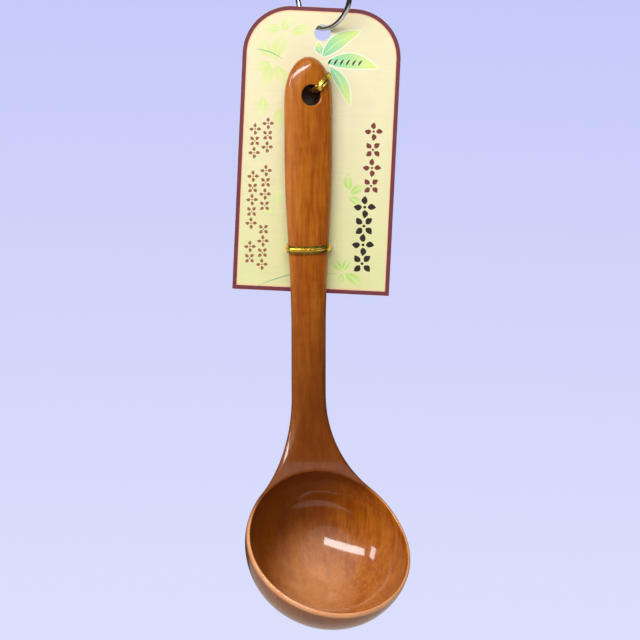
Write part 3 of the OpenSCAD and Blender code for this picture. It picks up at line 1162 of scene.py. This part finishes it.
@dataclass
class HangCard:
    """The punched paperboard card, printed on its front."""

    width: float = 0.0784
    height: float = 0.1415
    thick: float = 0.0008
    corner: float = 0.024
    hang_drop: float = 0.0125
    hang_r: float = 0.004
    tie_hole_r: float = 0.0005
    # Where the painted shadow behind the eye sits, and how wide it is.
    eye_shadow_at: tuple[float, float] = (-0.0073, -0.1020)
    eye_shadow_r: float = 0.0062
    torn_r: float = 0.0013
    lean: float = math.radians(2.7)
    hang_below: float = 0.00225
    border: float = 0.0021
    line: float = 0.0006
    edge_round: float = 0.0001
    rib_share: float = 0.8
    rib_width: float = 0.4
    petal_from: float = 0.14
    petal_len: float = 0.42
    petal_wide: float = 0.3
    dot: float = 0.16
    pivot: Vector = field(default_factory=Vector)
    tie_holes: Sequence[tuple[float, float]] = ()
    finish: PrintedCard = field(default_factory=PrintedCard)

    def outline(self, inset: float) -> np.ndarray:
        """The card's outline, drawn in by an inset.

        Args:
            inset: How far inside the cut edge it runs.

        Returns:
            The outline's points, about the hang hole.
        """
        half = self.width / 2 - inset
        top = self.hang_drop - inset
        low = self.hang_drop - self.height + inset
        radius = self.corner - inset
        points = []
        for side, start in ((1, 0.0), (-1, 90.0)):
            for a in np.radians(start + np.linspace(0, 90, 25)):
                points.append(
                    (
                        side * (half - radius) + radius * math.cos(a),
                        top - radius + radius * math.sin(a),
                    )
                )
        points += [(-half, low), (half, low)]
        return np.array(points)

    def round_hole(self, centre: Sequence[float], radius: float, n: int) -> np.ndarray:
        """The outline of a punched hole."""
        return circle(n) * radius + np.array(centre)

    def local(self, spot: Sequence[float]) -> tuple[float, float]:
        """Carries a place on the upright card to the card's own frame."""
        x, z = spot[0], spot[1] - (self.pivot.z - self.hang_below)
        c, s = math.cos(self.lean), math.sin(self.lean)
        return (x * c - z * s, x * s + z * c)

    def sprig(
        self,
        leaves: Sequence[tuple[tuple[float, float], float, float, float]],
        inks: tuple[Ink, Ink],
        halo: float,
    ) -> list[Shape]:
        """A sprig of leaves.

        Args:
            leaves: Each leaf's base, direction in degrees, length and width, in millimetres.
            inks: The inks at a leaf's base and at its tip.
            halo: The width of the pale band round a leaf, in millimetres; 0 for none.

        Returns:
            The halo, blade and rib of each leaf, in printing order.
        """
        shapes = []
        for base, angle, length, width in leaves:
            at, turn = np.array(base) * MM, math.radians(angle)
            end = at + np.array([math.cos(turn), math.sin(turn)]) * length * MM
            if halo:
                ring = leaf_outline(base, angle, length, width, halo)
                shapes.append(Shape(ring, Ink.HALO))
            blade = leaf_outline(base, angle, length, width)
            shapes.append(Shape(blade, *inks, tuple(at), tuple(end)))
            rib = leaf_outline(base, angle, self.rib_share * length, self.rib_width)
            shapes.append(Shape(rib, Ink.RIB))
        return shapes

    def leaves(self) -> list[Shape]:
        """The leaf sprigs, the faint ones first.

        Returns:
            The leaves, stems and seeds in printing order.
        """
        faint = [
            ((-20.0, 0.5), 50, 8.5, 5.0),
            ((-15.5, -1.0), 12, 12.0, 5.4),
            ((-21.0, 1.0), 172, 9.0, 5.0),
            ((-25.0, -13.0), 118, 11.5, 5.6),
            ((-23.0, -14.0), 66, 15.0, 6.6),
            ((-25.0, -16.0), 196, 9.5, 5.0),
            ((-25.0, -17.0), 248, 14.0, 6.0),
            ((-22.5, -17.0), 292, 14.0, 6.0),
            ((-28.0, -33.0), 262, 11.0, 5.6),
            ((-20.0, -38.0), 262, 13.0, 5.6),
            ((-19.0, -86.0), 70, 9.0, 4.4),
            ((-20.0, -90.0), 150, 8.0, 3.8),
        ]
        fresh = [
            ((17.0, -77.0), 96, 9.0, 4.2),
            ((17.5, -79.0), 28, 9.5, 4.0),
            ((17.0, -81.0), -28, 7.5, 3.6),
            ((15.0, -117.0), 128, 8.0, 3.8),
            ((16.0, -117.0), 62, 7.0, 3.6),
            ((17.0, -119.0), -38, 12.0, 5.0),
            ((15.5, -119.0), -112, 6.0, 3.0),
        ]
        strong = [
            ((-0.2, -10.6), 104, 6.5, 3.8),
            ((0.4, -11.6), 36, 23.0, 6.8),
            ((2.9, -14.4), -4, 25.5, 7.4),
            ((4.2, -16.5), -60, 22.0, 5.2),
        ]
        stems = [((-33.0, -9.5), -18, 15.0, 0.5), ((-28.0, -127.5), 11, 43.0, 0.6)]
        return (
            self.sprig(faint, (Ink.FAINT, Ink.PALE_TIP), 0)
            + self.sprig(fresh, (Ink.SPRIG, Ink.GREEN_WASH), 0)
            + [Shape(leaf_outline(*s), Ink.STEM) for s in stems]
            + self.sprig(strong, (Ink.LEAF, Ink.TIP), 0.55)
            + self.seeds()
        )

    def seeds(self) -> list[Shape]:
        """A row of slim slanted seeds across the strong sprig."""
        places = [(3.4 + 3.0 * k, -15.6) for k in range(6)]
        return [Shape(leaf_outline(place, 58, 3.6, 0.9), Ink.BLACK) for place in places]

    def rosette(
        self, centre: tuple[float, float], size: float, turn: float, ink: Ink
    ) -> list[Shape]:
        """A plain four-petalled rosette.

        Args:
            centre: Its centre, in millimetres.
            size: Its width, in millimetres.
            turn: How far it is turned, in degrees.
            ink: Its ink.

        Returns:
            The petals and the centre.
        """
        shapes = []
        for k in range(4):
            a = turn + 90 * k
            way = np.array([math.cos(math.radians(a)), math.sin(math.radians(a))])
            base = np.array(centre) + way * size * self.petal_from
            petal = leaf_outline(base, a, self.petal_len * size, self.petal_wide * size)
            shapes.append(Shape(petal, ink))
        return [*shapes, Shape(lozenge_outline(centre, self.dot * size), ink)]

    def ornaments(self) -> list[Shape]:
        """Plain upright columns of rosettes.

        Returns:
            The rosettes' shapes.
        """
        columns = (
            (-31.2, -49.0, 5.85, (0, 1, 2, 4, 5, 6, 7, 8, 10, 11), 5.3, Ink.BROWN),
            (-24.9, -45.9, 5.85, (0, 1, 2, 4, 5, 6, 7, 9, 10, 11, 12), 5.3, Ink.BROWN),
            (27.6, -47.5, 9.0, (0, 1, 2, 3), 8.2, Ink.MAROON),
            (25.0, -85.2, 9.4, (0, 1, 2, 3), 10.0, Ink.BLACK),
        )
        shapes = []
        for x, z, pitch, rows, size, ink in columns:
            for row in rows:
                spot = (x, z - pitch * row)
                shapes += self.rosette(spot, size, 45.0 * (row % 2), ink)
        return shapes

    def marks(self) -> list[Shape]:
        """The torn rings round the tie holes, and the painted shadow behind the eye.

        Returns:
            The rings and the painted shadow.
        """
        torn = [
            Shape(self.round_hole(self.local(h), self.torn_r, 24), Ink.TORN)
            for h in self.tie_holes
        ]
        # A dark disc of painted shadow behind the eye.
        spot = self.round_hole(self.local(self.eye_shadow_at), self.eye_shadow_r, 40)
        return torn + [Shape(spot, Ink.EYE_SHADOW)]

    def artwork(self) -> list[Shape]:
        """Lays out the front's print.

        Returns:
            Everything printed on it, in printing order.
        """
        return [
            Shape(self.outline(self.edge_round), Ink.BORDER),
            Shape(self.outline(self.border), Ink.LINE),
            Shape(
                self.outline(self.border + self.line), Ink.GROUND, Ink.GREEN_WASH,
                (0.0, -0.02), (0.0, -0.13),
            ),
            *self.leaves(),
            *self.ornaments(),
            *self.marks(),
        ]

    def loops(self, grow: float) -> list[np.ndarray]:
        """The cut edges: the outline and every hole.

        Args:
            grow: How far the board is cut back from each edge.

        Returns:
            One loop of points for each edge.
        """
        holes = [self.round_hole((0.0, 0.0), self.hang_r + grow, 64)]
        holes += [
            self.round_hole(self.local(h), self.tie_hole_r + grow, 28)
            for h in self.tie_holes
        ]
        return [self.outline(grow)] + holes

    def triangulate(
        self, loops: list[np.ndarray], shapes: list[Shape]
    ) -> tuple[np.ndarray, np.ndarray, list[list[int]]]:
        """Cuts the card's face into triangles that follow every printed edge.

        Args:
            loops: The cut edges.
            shapes: The printed shapes.

        Returns:
            The points, the triangles, and each cut edge's point numbers.
        """
        points: list[Vector] = []
        edges: list[tuple[int, int]] = []
        starts = []
        for ring in loops + [s.outline for s in shapes]:
            base = len(points)
            starts.append(base)
            points += [Vector((float(p[0]), float(p[1]))) for p in ring]
            n = len(ring)
            edges += [(base + i, base + (i + 1) % n) for i in range(n)]
        found, _, faces, origin, _, _ = delaunay_2d_cdt(points, edges, [], 0, 1e-7)
        flat = np.array([tuple(p) for p in found])
        number = {old: new for new, olds in enumerate(origin) for old in olds}
        cut = [
            [number[s + i] for i in range(len(ring))]
            for s, ring in zip(starts, loops)
        ]
        triangles = np.array([f for f in faces if len(f) == 3])
        middle = flat[triangles].mean(axis=1)
        keep = Shape(loops[0], Ink.GROUND).covers(middle)
        for ring in loops[1:]:
            keep &= ~Shape(ring, Ink.GROUND).covers(middle)
        return flat, triangles[keep], cut

    def build(self) -> bpy.types.Object:
        """Builds and prints the card.

        Returns:
            The card.
        """
        shapes = self.artwork()
        flat, triangles, cut = self.triangulate(self.loops(self.edge_round), shapes[1:])
        count = len(flat)
        half = self.thick / 2
        front = np.column_stack([flat[:, 0], np.full(count, -half), flat[:, 1]])
        back = np.column_stack([flat[:, 0], np.full(count, half), flat[:, 1]])
        points = [front, back]
        faces = [tuple(int(q) for q in t) for t in triangles]
        faces = faces + [tuple(reversed([q + count for q in f])) for f in faces]
        printed = len(triangles)
        total = 2 * count
        for ring, full in zip(cut, self.loops(0.0)):
            n = len(ring)
            rows = [ring]
            for y in (-half + self.edge_round, half - self.edge_round):
                points.append(np.column_stack([full[:, 0], np.full(n, y), full[:, 1]]))
                rows.append(list(range(total, total + n)))
                total += n
            rows.append([q + count for q in ring])
            for near, far in zip(rows, rows[1:]):
                faces += [
                    (near[i], far[i], far[(i + 1) % n], near[(i + 1) % n])
                    for i in range(n)
                ]
        place = np.vstack(points)
        turn = Matrix.Rotation(SETTLE + self.lean, 4, "Y")
        piece = Piece("card_board", Body.HUNG, "printed_card", "card")
        made = piece.make(
            place, faces, self.finish.material(), seat(place, turn, "card"), False
        )
        self.ink(made, shapes, printed)
        return made

    def ink(self, card: bpy.types.Object, shapes: list[Shape], printed: int) -> None:
        """Colours the front's triangles with the print.

        Args:
            card: The card.
            shapes: The printed shapes, in printing order.
            printed: How many of the card's faces are on its front.
        """
        mesh = card.data
        layer = mesh.color_attributes.new(self.finish.ink_layer, "FLOAT_COLOR", "CORNER")
        colors = np.tile(np.array(Ink.BACK.value), (len(mesh.loops), 1))
        spots = np.array([v.co for v in mesh.vertices])[:, [0, 2]]
        corners = [list(p.loop_indices) for p in mesh.polygons[:printed]]
        owners = [list(p.vertices) for p in mesh.polygons[:printed]]
        middle = np.array([spots[o].mean(axis=0) for o in owners])
        flat_corners = np.array([c for group in corners for c in group])
        flat_spots = np.array([spots[o] for group in owners for o in group])
        of_face = np.repeat(np.arange(printed), [len(c) for c in corners])
        for shape in shapes:
            chosen = shape.covers(middle)[of_face]
            if chosen.any():
                colors[flat_corners[chosen]] = shape.colors(flat_spots[chosen])
        layer.data.foreach_set("color", colors.astype(np.float32).ravel())


# ---- The hook ----------


@dataclass
class Hook:
    """The chrome wire S-hook."""

    wire_r: float = 0.00125
    bend_r: float = 0.0175
    sweep: float = math.radians(277)
    lean: float = math.radians(13)
    yaw: float = math.radians(-42)
    around: int = 28
    steps: int = 84
    caps: int = 6
    finish: BarePlate = BarePlate("chrome_wire", srgb(206, 208, 212), 0.07, 0.1)

    def half(self) -> np.ndarray:
        """The wire's line from the middle of the shank to the lower tip.

        Returns:
            Points [across, down to up] about the middle of the shank.
        """
        apart = 2 * self.bend_r / math.cos(self.lean)
        angles = math.pi / 2 - self.lean - np.linspace(0, self.sweep, self.steps)
        bend = np.column_stack([np.cos(angles), np.sin(angles)]) * self.bend_r
        return bend + np.array([0.0, -apart / 2])

    def build(self) -> bpy.types.Object:
        """Builds and dresses the hook.

        Returns:
            The hook.
        """
        lower = self.half()
        line = np.vstack([-lower[::-1], lower])
        middle = np.column_stack([line[:, 0], np.zeros(len(line)), line[:, 1]])
        side = np.array([0.0, 1.0, 0.0])
        go = np.gradient(middle, axis=0)
        go /= np.linalg.norm(go, axis=1)[:, None]
        out = np.cross(go, side)
        steps = np.sin(np.linspace(0, math.pi / 2, self.caps + 1))[1:-1]

        def cap(end: int, way: int) -> list[tuple[np.ndarray, np.ndarray, float]]:
            """The shrinking rings that round off one end, outermost first."""
            return [
                (middle[end] + way * go[end] * self.wire_r * (1 - u), out[end],
                 math.sqrt(1 - (1 - u) ** 2))
                for u in steps
            ]

        along = [(m, o, 1.0) for m, o in zip(middle, out)]
        c, s = circle(self.around).T[:, :, None]
        rows = [
            centre + self.wire_r * size * (c * o + s * side)
            for centre, o, size in cap(0, -1) + along + cap(-1, 1)[::-1]
        ]
        ends = [middle[0] - go[0] * self.wire_r, middle[-1] + go[-1] * self.wire_r]
        points = np.vstack(rows + [np.array(ends)])
        n = len(rows)
        faces = [tuple(reversed(f)) for f in tube(n, self.around)]
        first, last = n * self.around, n * self.around + 1
        tail = (n - 1) * self.around
        for i in range(self.around):
            k = (i + 1) % self.around
            faces.append((first, i, k))
            faces.append((last, tail + k, tail + i))
        turn_to = Matrix.Rotation(self.yaw, 4, "Z")
        piece = Piece("hook_wire", Body.HOOK, "hook_wire", "hook")
        return piece.make(
            points, faces, self.finish.material(), seat(points, turn_to, "hook")
        )


# ---- Twist ties ----------


@dataclass(frozen=True)
class Stop:
    """One stop on a tie's route, in millimetres: place, direction across, width share."""

    at: tuple[float, float, float]
    across: tuple[float, float, float]
    share: float


THIN = 0.36
UPPER_ROUTE = (
    Stop((-2, 2.8, -100.9), (0.3, 1, 0.3), THIN),
    Stop((-3.5, 2.7, -99.8), (0, 0.7, 0.7), THIN),
    Stop((-5.2, 2.1, -100), (0, 0.2, 1), THIN),
    Stop((-6.4, 0, -100.2), (0, 0, 1), THIN),
    Stop((-5.9, -3.9, -100), (-0.35, 0, 0.9), 0.5),
    Stop((-4.4, -7.9, -99.8), (-0.7, 0, 0.7), 0.8),
    Stop((-2.9, -12, -99.2), (-0.7, 0, 0.6), 0.9),
    Stop((-1, -13.3, -97.6), (-0.7, 0, 0.6), 0.9),
    Stop((1, -12.2, -95.5), (-0.65, 0, 0.6), 0.85),
    Stop((2.7, -9.9, -93.8), (-0.6, 0, 0.7), 0.75),
    Stop((3.9, -6.4, -92.9), (-0.4, 0, 0.9), 0.6),
    Stop((3.7, -2.9, -92.3), (-0.15, 0, 1), 0.45),
    Stop((2.6, 0, -92), (0, 0, 1), THIN),
    Stop((1.9, 2.1, -92.5), (0.2, 0.2, 1), THIN),
    Stop((0.7, 2.7, -95), (0.6, 0.8, 0.3), THIN),
    Stop((0.5, 2.8, -98.4), (0.3, 1, 0), THIN),
    Stop((0.5, 2.8, -100.6), (0, 1, 0), THIN),
)
WAIST_ROUTE = (
    Stop((-7.9, 2.8, -179.5), (0.2, 1, 0.2), THIN),
    Stop((-10, 2.8, -178.7), (0, 1, 0.5), THIN),
    Stop((-13, 2.7, -177.9), (0, 0.7, 0.7), THIN),
    Stop((-15, 2.1, -177.5), (0, 0.2, 1), THIN),
    Stop((-16.3, 0, -177.4), (0, 0, 1), THIN),
    Stop((-17.5, -3.8, -177.6), (0, 0, 1), 0.8),
    Stop((-17.9, -9.4, -178), (0, 0, 1), 1),
    Stop((-16.2, -13.5, -178.3), (0, 0, 1), 1),
    Stop((-12, -14.8, -178.6), (0, 0, 1), 1),
    Stop((-6.2, -13.6, -178.6), (0, 0, 1), 1),
    Stop((-0.8, -11.7, -178.3), (0, 0, 1), 1),
    Stop((2.5, -9.2, -177.8), (0, 0, 1), 0.95),
    Stop((4, -5.2, -177.6), (0, 0, 1), 0.7),
    Stop((4.4, -2.2, -177.5), (0, 0, 1), 0.5),
    Stop((4.3, 0, -177.5), (0, 0, 1), THIN),
    Stop((3, 2.1, -177.6), (0, 0.2, 1), THIN),
    Stop((0.8, 2.7, -177.9), (0, 0.7, 0.7), THIN),
    Stop((-2.4, 2.8, -178.4), (0, 1, 0.5), THIN),
    Stop((-4.2, 2.8, -178.9), (0, 1, 0.2), THIN),
)
TIE_HOLES = ((-6.4, -100.2), (2.6, -92), (-16.3, -177.4), (4.3, -177.5))


@dataclass
class TwistTie:
    """A foil twist tie: a steel core between two films, its ends twisted behind the card."""

    name: str
    route: Sequence[Stop]
    twist_start: tuple[float, float]
    twist_angle: float
    pivot: Vector
    width: float = 4.0
    core_r: float = 0.25
    film: float = 0.15
    gap: float = 0.05
    twist_r: float = 1.0
    turns: float = 1.5
    twist_len: float = 10.0
    twist_steps: int = 16
    tail_len: float = 8.0
    tail_spread: float = 4.0
    tail_steps: Sequence[float] = (1.0, 0.6, 0.3, 0.1, 0.0)
    tail_lift: float = 0.6
    tail_share: float = 0.9
    waves: int = 6
    crease: float = 0.05
    twist_y: float = 2.8
    fine: int = 7
    foil: GoldFoil = field(default_factory=GoldFoil)
    core: BarePlate = BarePlate("tie_steel", srgb(150, 150, 152), 0.3, 0.2)

    def ends(self, strand: int) -> list[Stop]:
        """The stops of one twisted end, from its tail's tip to the card.

        Args:
            strand: 0 or 1 for the tie's two ends.

        Returns:
            The stops.
        """
        a = math.radians(self.twist_angle)
        along = np.array([math.cos(a), 0, math.sin(a)])
        aside = np.array([-math.sin(a), 0, math.cos(a)])
        out = np.array([0.0, 1.0, 0.0])
        start = np.array([self.twist_start[0], self.twist_y, self.twist_start[1]])
        side = (2 * strand - 1) * math.cos(2 * math.pi * self.turns)
        stops = []
        for t in self.tail_steps:
            at = start + along * (self.twist_len + 1 + self.tail_len * t)
            at = at + aside * side * (self.twist_r + self.tail_spread * t * t)
            at = at - out * self.tail_lift * t
            share = THIN + (self.tail_share - THIN) * float(ease(t))
            stops.append(Stop(tuple(at), tuple(aside), share))
        for i in range(self.twist_steps, -1, -1):
            turned = self.turns * float(ease(i / self.twist_steps))
            q = math.pi * (1 - strand) + 2 * math.pi * turned
            spoke = math.cos(q) * aside + math.sin(q) * out
            around = math.cos(q) * out - math.sin(q) * aside
            at = start + along * self.twist_len * i / self.twist_steps
            stops.append(Stop(tuple(at + spoke * self.twist_r), tuple(around), THIN))
        return stops

    def stations(self) -> tuple[np.ndarray, np.ndarray, np.ndarray, np.ndarray]:
        """Smooths the route and finds its directions.

        Returns:
            Places, directions across, directions outwards, and widths, in millimetres.
        """
        stops = [*self.ends(0), *self.route, *reversed(self.ends(1))]
        at = np.array([s.at for s in stops], float)
        across = np.array([s.across for s in stops], float)
        share = np.array([s.share for s in stops], float)
        for i in range(1, len(across)):
            if across[i] @ across[i - 1] < 0:
                across[i] *= -1
        n = len(stops)
        knots = np.arange(n)
        dense = np.linspace(0, n - 1, (n - 1) * self.fine + 1)
        i = np.clip(dense.astype(int), 0, n - 2)
        t = (dense - i)[:, None]
        a, b = at[np.maximum(i - 1, 0)], at[i]
        c, d = at[i + 1], at[np.minimum(i + 2, n - 1)]
        place = 0.5 * (
            2 * b
            + (c - a) * t
            + (2 * a - 5 * b + 4 * c - d) * t**2
            + (3 * b - a - 3 * c + d) * t**3
        )
        go = np.gradient(place, axis=0)
        go /= np.linalg.norm(go, axis=1)[:, None]
        wide = np.column_stack([np.interp(dense, knots, across[:, k]) for k in range(3)])
        wide -= go * (wide * go).sum(axis=1)[:, None]
        wide /= np.linalg.norm(wide, axis=1)[:, None]
        out = np.cross(wide, go)
        return place, wide, out, np.interp(dense, knots, share)

    def bulge(self, u: np.ndarray) -> np.ndarray:
        """How far a film stands off the middle, to pass over the core."""
        lift = np.exp(-((u / (2 * self.core_r) * 1.2) ** 4))
        return (self.core_r + self.gap) * lift + self.gap

    def crinkle(self, count: int, across: np.ndarray) -> np.ndarray:
        """Small lengthwise and crosswise creases in the films.

        Args:
            count: How many stations the tie has.
            across: Places across the tie, -1 to 1.

        Returns:
            A height in millimetres for each station and place.
        """
        seed = sum(ord(letter) for letter in self.name)
        rng = np.random.default_rng(seed)
        s = np.arange(count)[:, None] / self.fine
        total = np.zeros((count, len(across)))
        for k in range(self.waves):
            pace, tilt, phase = rng.uniform(0.8, 4.5), rng.uniform(-3, 3), rng.uniform(0, 6)
            total += np.sin(pace * s + tilt * across[None, :] + phase) / (k + 2)
        return self.crease * total * (1 - across[None, :] ** 8)

    def skin(self, section: Callable[[int, float], np.ndarray]) -> tuple[np.ndarray, list]:
        """Skins a closed section along the route.

        Args:
            section: Gives the section's [across, out] points at a station and width share.

        Returns:
            The points in metres, in the hung frame, and the faces.
        """
        place, wide, out, share = self.stations()
        rows = [
            place[i] + np.outer(p[:, 0], wide[i]) + np.outer(p[:, 1], out[i])
            for i, p in ((i, section(i, share[i])) for i in range(len(place)))
        ]
        m = len(rows[0])
        faces = tube(len(rows), m)
        faces.append(tuple(range(m - 1, -1, -1)))
        faces.append(tuple((len(rows) - 1) * m + j for j in range(m)))
        return np.vstack(rows) * MM, faces

    def piece(self, part: str, points: np.ndarray, faces: list,
              material: bpy.types.Material, slot: str) -> bpy.types.Object:
        """Makes one layer of the tie, turned with the card about the wire.

        Args:
            part: Which layer it is.
            points: Its points.
            faces: Its faces.
            material: Its finish.
            slot: The name of its material slot, kept with the piece but not used.

        Returns:
            The layer.
        """
        settle = (
            Matrix.Translation(self.pivot)
            @ Matrix.Rotation(SETTLE, 4, "Y")
            @ Matrix.Translation(-self.pivot)
        )
        node = f"{self.name}_tie_{part}"
        made = Piece(f"{node}_visual", Body.HUNG, slot, node)
        return made.make(points, faces, material, settle)

    def build(self) -> list[bpy.types.Object]:
        """Builds and dresses the tie's three layers.

        Returns:
            The core, the outer film and the inner film.
        """
        ring = circle(12) * self.core_r
        made = []
        points, faces = self.skin(lambda i, share: ring)
        made.append(self.piece("wire", points, faces, self.core.material(), "tie_core"))
        foil = self.foil.material()
        cuts = np.sin(np.linspace(-math.pi / 2, math.pi / 2, 17))
        count = len(self.stations()[0])
        creases = self.crinkle(count, cuts)
        for part, side in (("outer_foil", 1), ("inner_foil", -1)):

            def section(i: int, share: float, side: int = side) -> np.ndarray:
                """The film's closed outline at a station.

                Args:
                    i: The station.
                    share: The tie's width share there.
                    side: 1 for the outer film, -1 for the inner one.

                Returns:
                    Its [across, out] points in millimetres.
                """
                u = cuts * self.width * share / 2
                near = self.bulge(u) + side * creases[i]
                low = np.column_stack([u, side * near])
                high = np.column_stack([u, side * (near + self.film)])[::-1]
                closed = np.vstack([low, high])
                return closed if side > 0 else closed[::-1]

            points, faces = self.skin(section)
            made.append(self.piece(part, points, faces, foil, "gold_foil"))
        return made


# ---- Camera, floor and light ----------


@dataclass(frozen=True)
class SoftBox:
    """A rectangular or round studio light."""

    name: str
    at: tuple[float, float, float]
    size: tuple[float, float]
    power: float
    disc: bool = False

    def build(self, target: Vector) -> bpy.types.Object:
        """Adds the light, aimed at a target.

        Args:
            target: The point it faces.

        Returns:
            The light.
        """
        data = bpy.data.lights.new(self.name, "AREA")
        data.shape = "ELLIPSE" if self.disc else "RECTANGLE"
        data.size, data.size_y = self.size
        data.energy = self.power
        made = stand(self.name, data)
        made.location = target + Vector(self.at)
        made.rotation_euler = (-Vector(self.at)).to_track_quat("-Z", "Y").to_euler()
        return made


@dataclass
class Studio:
    """The camera, the pale floor and the soft light."""

    pivot: Vector
    elevation: float = math.radians(6)
    distance: float = 1.3
    view_width: float = 0.320
    sensor: float = 36.0
    aim_from_pivot: tuple[float, float] = (-0.00135, -0.145)
    floor_drop: float = 0.30
    floor_half: float = 0.95
    sky_low: Color = srgb(222, 225, 252)
    sky_high: Color = srgb(197, 201, 249)
    sky_band: tuple[float, float] = (-0.24, 0.03)
    soft_glow: tuple[Color, float] = ((0.93, 0.94, 1.0, 1.0), 0.26)
    dim_glow: tuple[Color, float] = ((1.0, 0.93, 0.85, 1.0), 0.05)
    lights: Sequence[SoftBox] = (
        SoftBox("key", (-0.34, -1.1, 0.76), (1.4, 0.24), 15.5),
        SoftBox("spark", (-1.3, -0.66, 0.66), (0.22, 0.42), 3.4),
        SoftBox("front", (0.11, -1.27, 1.3), (2.6, 2.6), 10.0, True),
        SoftBox("back", (0.2, 1.3, 0.8), (1.2, 0.8), 5.0),
    )

    def target(self) -> Vector:
        """The point that the middle of the picture shows."""
        x, z = self.aim_from_pivot
        return self.pivot + Matrix.Rotation(SETTLE, 3, "Y") @ Vector((x, 0, z))

    def camera(self) -> bpy.types.Object:
        """Adds the camera.

        Returns:
            The camera.
        """
        data = bpy.data.cameras.new("camera")
        data.sensor_width = self.sensor
        data.lens = self.sensor * self.distance / self.view_width
        data.clip_end = 50
        made = stand("camera", data)
        away = Matrix.Rotation(-self.elevation, 3, "X") @ Vector((0, -self.distance, 0))
        upright = Matrix.Rotation(math.pi / 2 - self.elevation, 4, "X")
        rolled = upright @ Matrix.Rotation(-SETTLE, 4, "Z")
        made.matrix_world = Matrix.Translation(self.target() + away) @ rolled
        bpy.context.scene.camera = made
        return made

    def floor(self) -> bpy.types.Object:
        """Adds the floor below the object.

        Returns:
            The floor.
        """
        half = self.floor_half
        z = CAD_BOX[0][2] - self.floor_drop
        middle = (CAD_BOX[0][0] + CAD_BOX[1][0]) / 2
        mesh = bpy.data.meshes.new("floor")
        square = ((-1, -1), (1, -1), (1, 1), (-1, 1))
        corners = [(middle + x * half, y * half, z) for x, y in square]
        mesh.from_pydata(corners, [], [(0, 1, 2, 3)])
        mesh.materials.append(PaleFloor().material())
        made = stand("floor", mesh)
        return made

    def sky(self) -> None:
        """Lights the scene evenly, with a pale backdrop behind the object."""
        world = bpy.data.worlds.new("studio")
        world.use_nodes = True
        bpy.context.scene.world = world
        sky = NodeTree(world.node_tree)

        def glow(color: Any, strength: float) -> bpy.types.NodeSocket:
            """An even glow."""
            inputs = {"Color": color, "Strength": strength}
            return sky.node("ShaderNodeBackground", {}, inputs).outputs[0]

        def choose(ray: str, no: Any, yes: Any) -> bpy.types.NodeSocket:
            """One glow for a kind of ray and another for the rest."""
            inputs = {0: rays[ray], 1: no, 2: yes}
            return sky.node("ShaderNodeMixShader", {}, inputs).outputs[0]

        rays = sky.node("ShaderNodeLightPath").outputs
        where = sky.node("ShaderNodeTexCoord").outputs["Generated"]
        height = sky.node("ShaderNodeSeparateXYZ", {}, {0: where}).outputs["Z"]
        low, high = self.sky_band
        inputs = {"Value": height, "From Min": low, "From Max": high}
        spread = sky.node("ShaderNodeMapRange", {}, inputs).outputs["Result"]
        ramp = sky.node("ShaderNodeValToRGB", {}, {"Fac": spread})
        ramp.color_ramp.elements[0].color = self.sky_low
        ramp.color_ramp.elements[1].color = self.sky_high
        lit = choose("Is Glossy Ray", glow(*self.soft_glow), glow(*self.dim_glow))
        seen = choose("Is Camera Ray", lit, glow(ramp.outputs["Color"], 1.0))
        sky.node("ShaderNodeOutputWorld", {}, {"Surface": seen})

    def build(self) -> None:
        """Sets up the floor, the backdrop and the lights."""
        bpy.context.scene.view_settings.view_transform = "Standard"
        self.floor()
        self.sky()
        for light in self.lights:
            light.build(self.target())


# ---- The whole ----------


def main() -> None:
    """Builds every piece in order."""
    logging.basicConfig(level=logging.INFO, format="%(name)s: %(message)s")
    pivot = Vector(frame["joints"][0]["pos_m"])
    studio = Studio(pivot)
    studio.camera()
    studio.build()
    Hook().build()
    HangCard(
        pivot=pivot, tie_holes=[(x * MM, z * MM) for x, z in TIE_HOLES]
    ).build()
    Ladle().build()
    TwistTie("upper", UPPER_ROUTE, (-0.6, -101.7), -85, pivot).build()
    TwistTie("waist", WAIST_ROUTE, (-6, -180), -80, pivot).build()


if __name__ == "__main__":
    main()
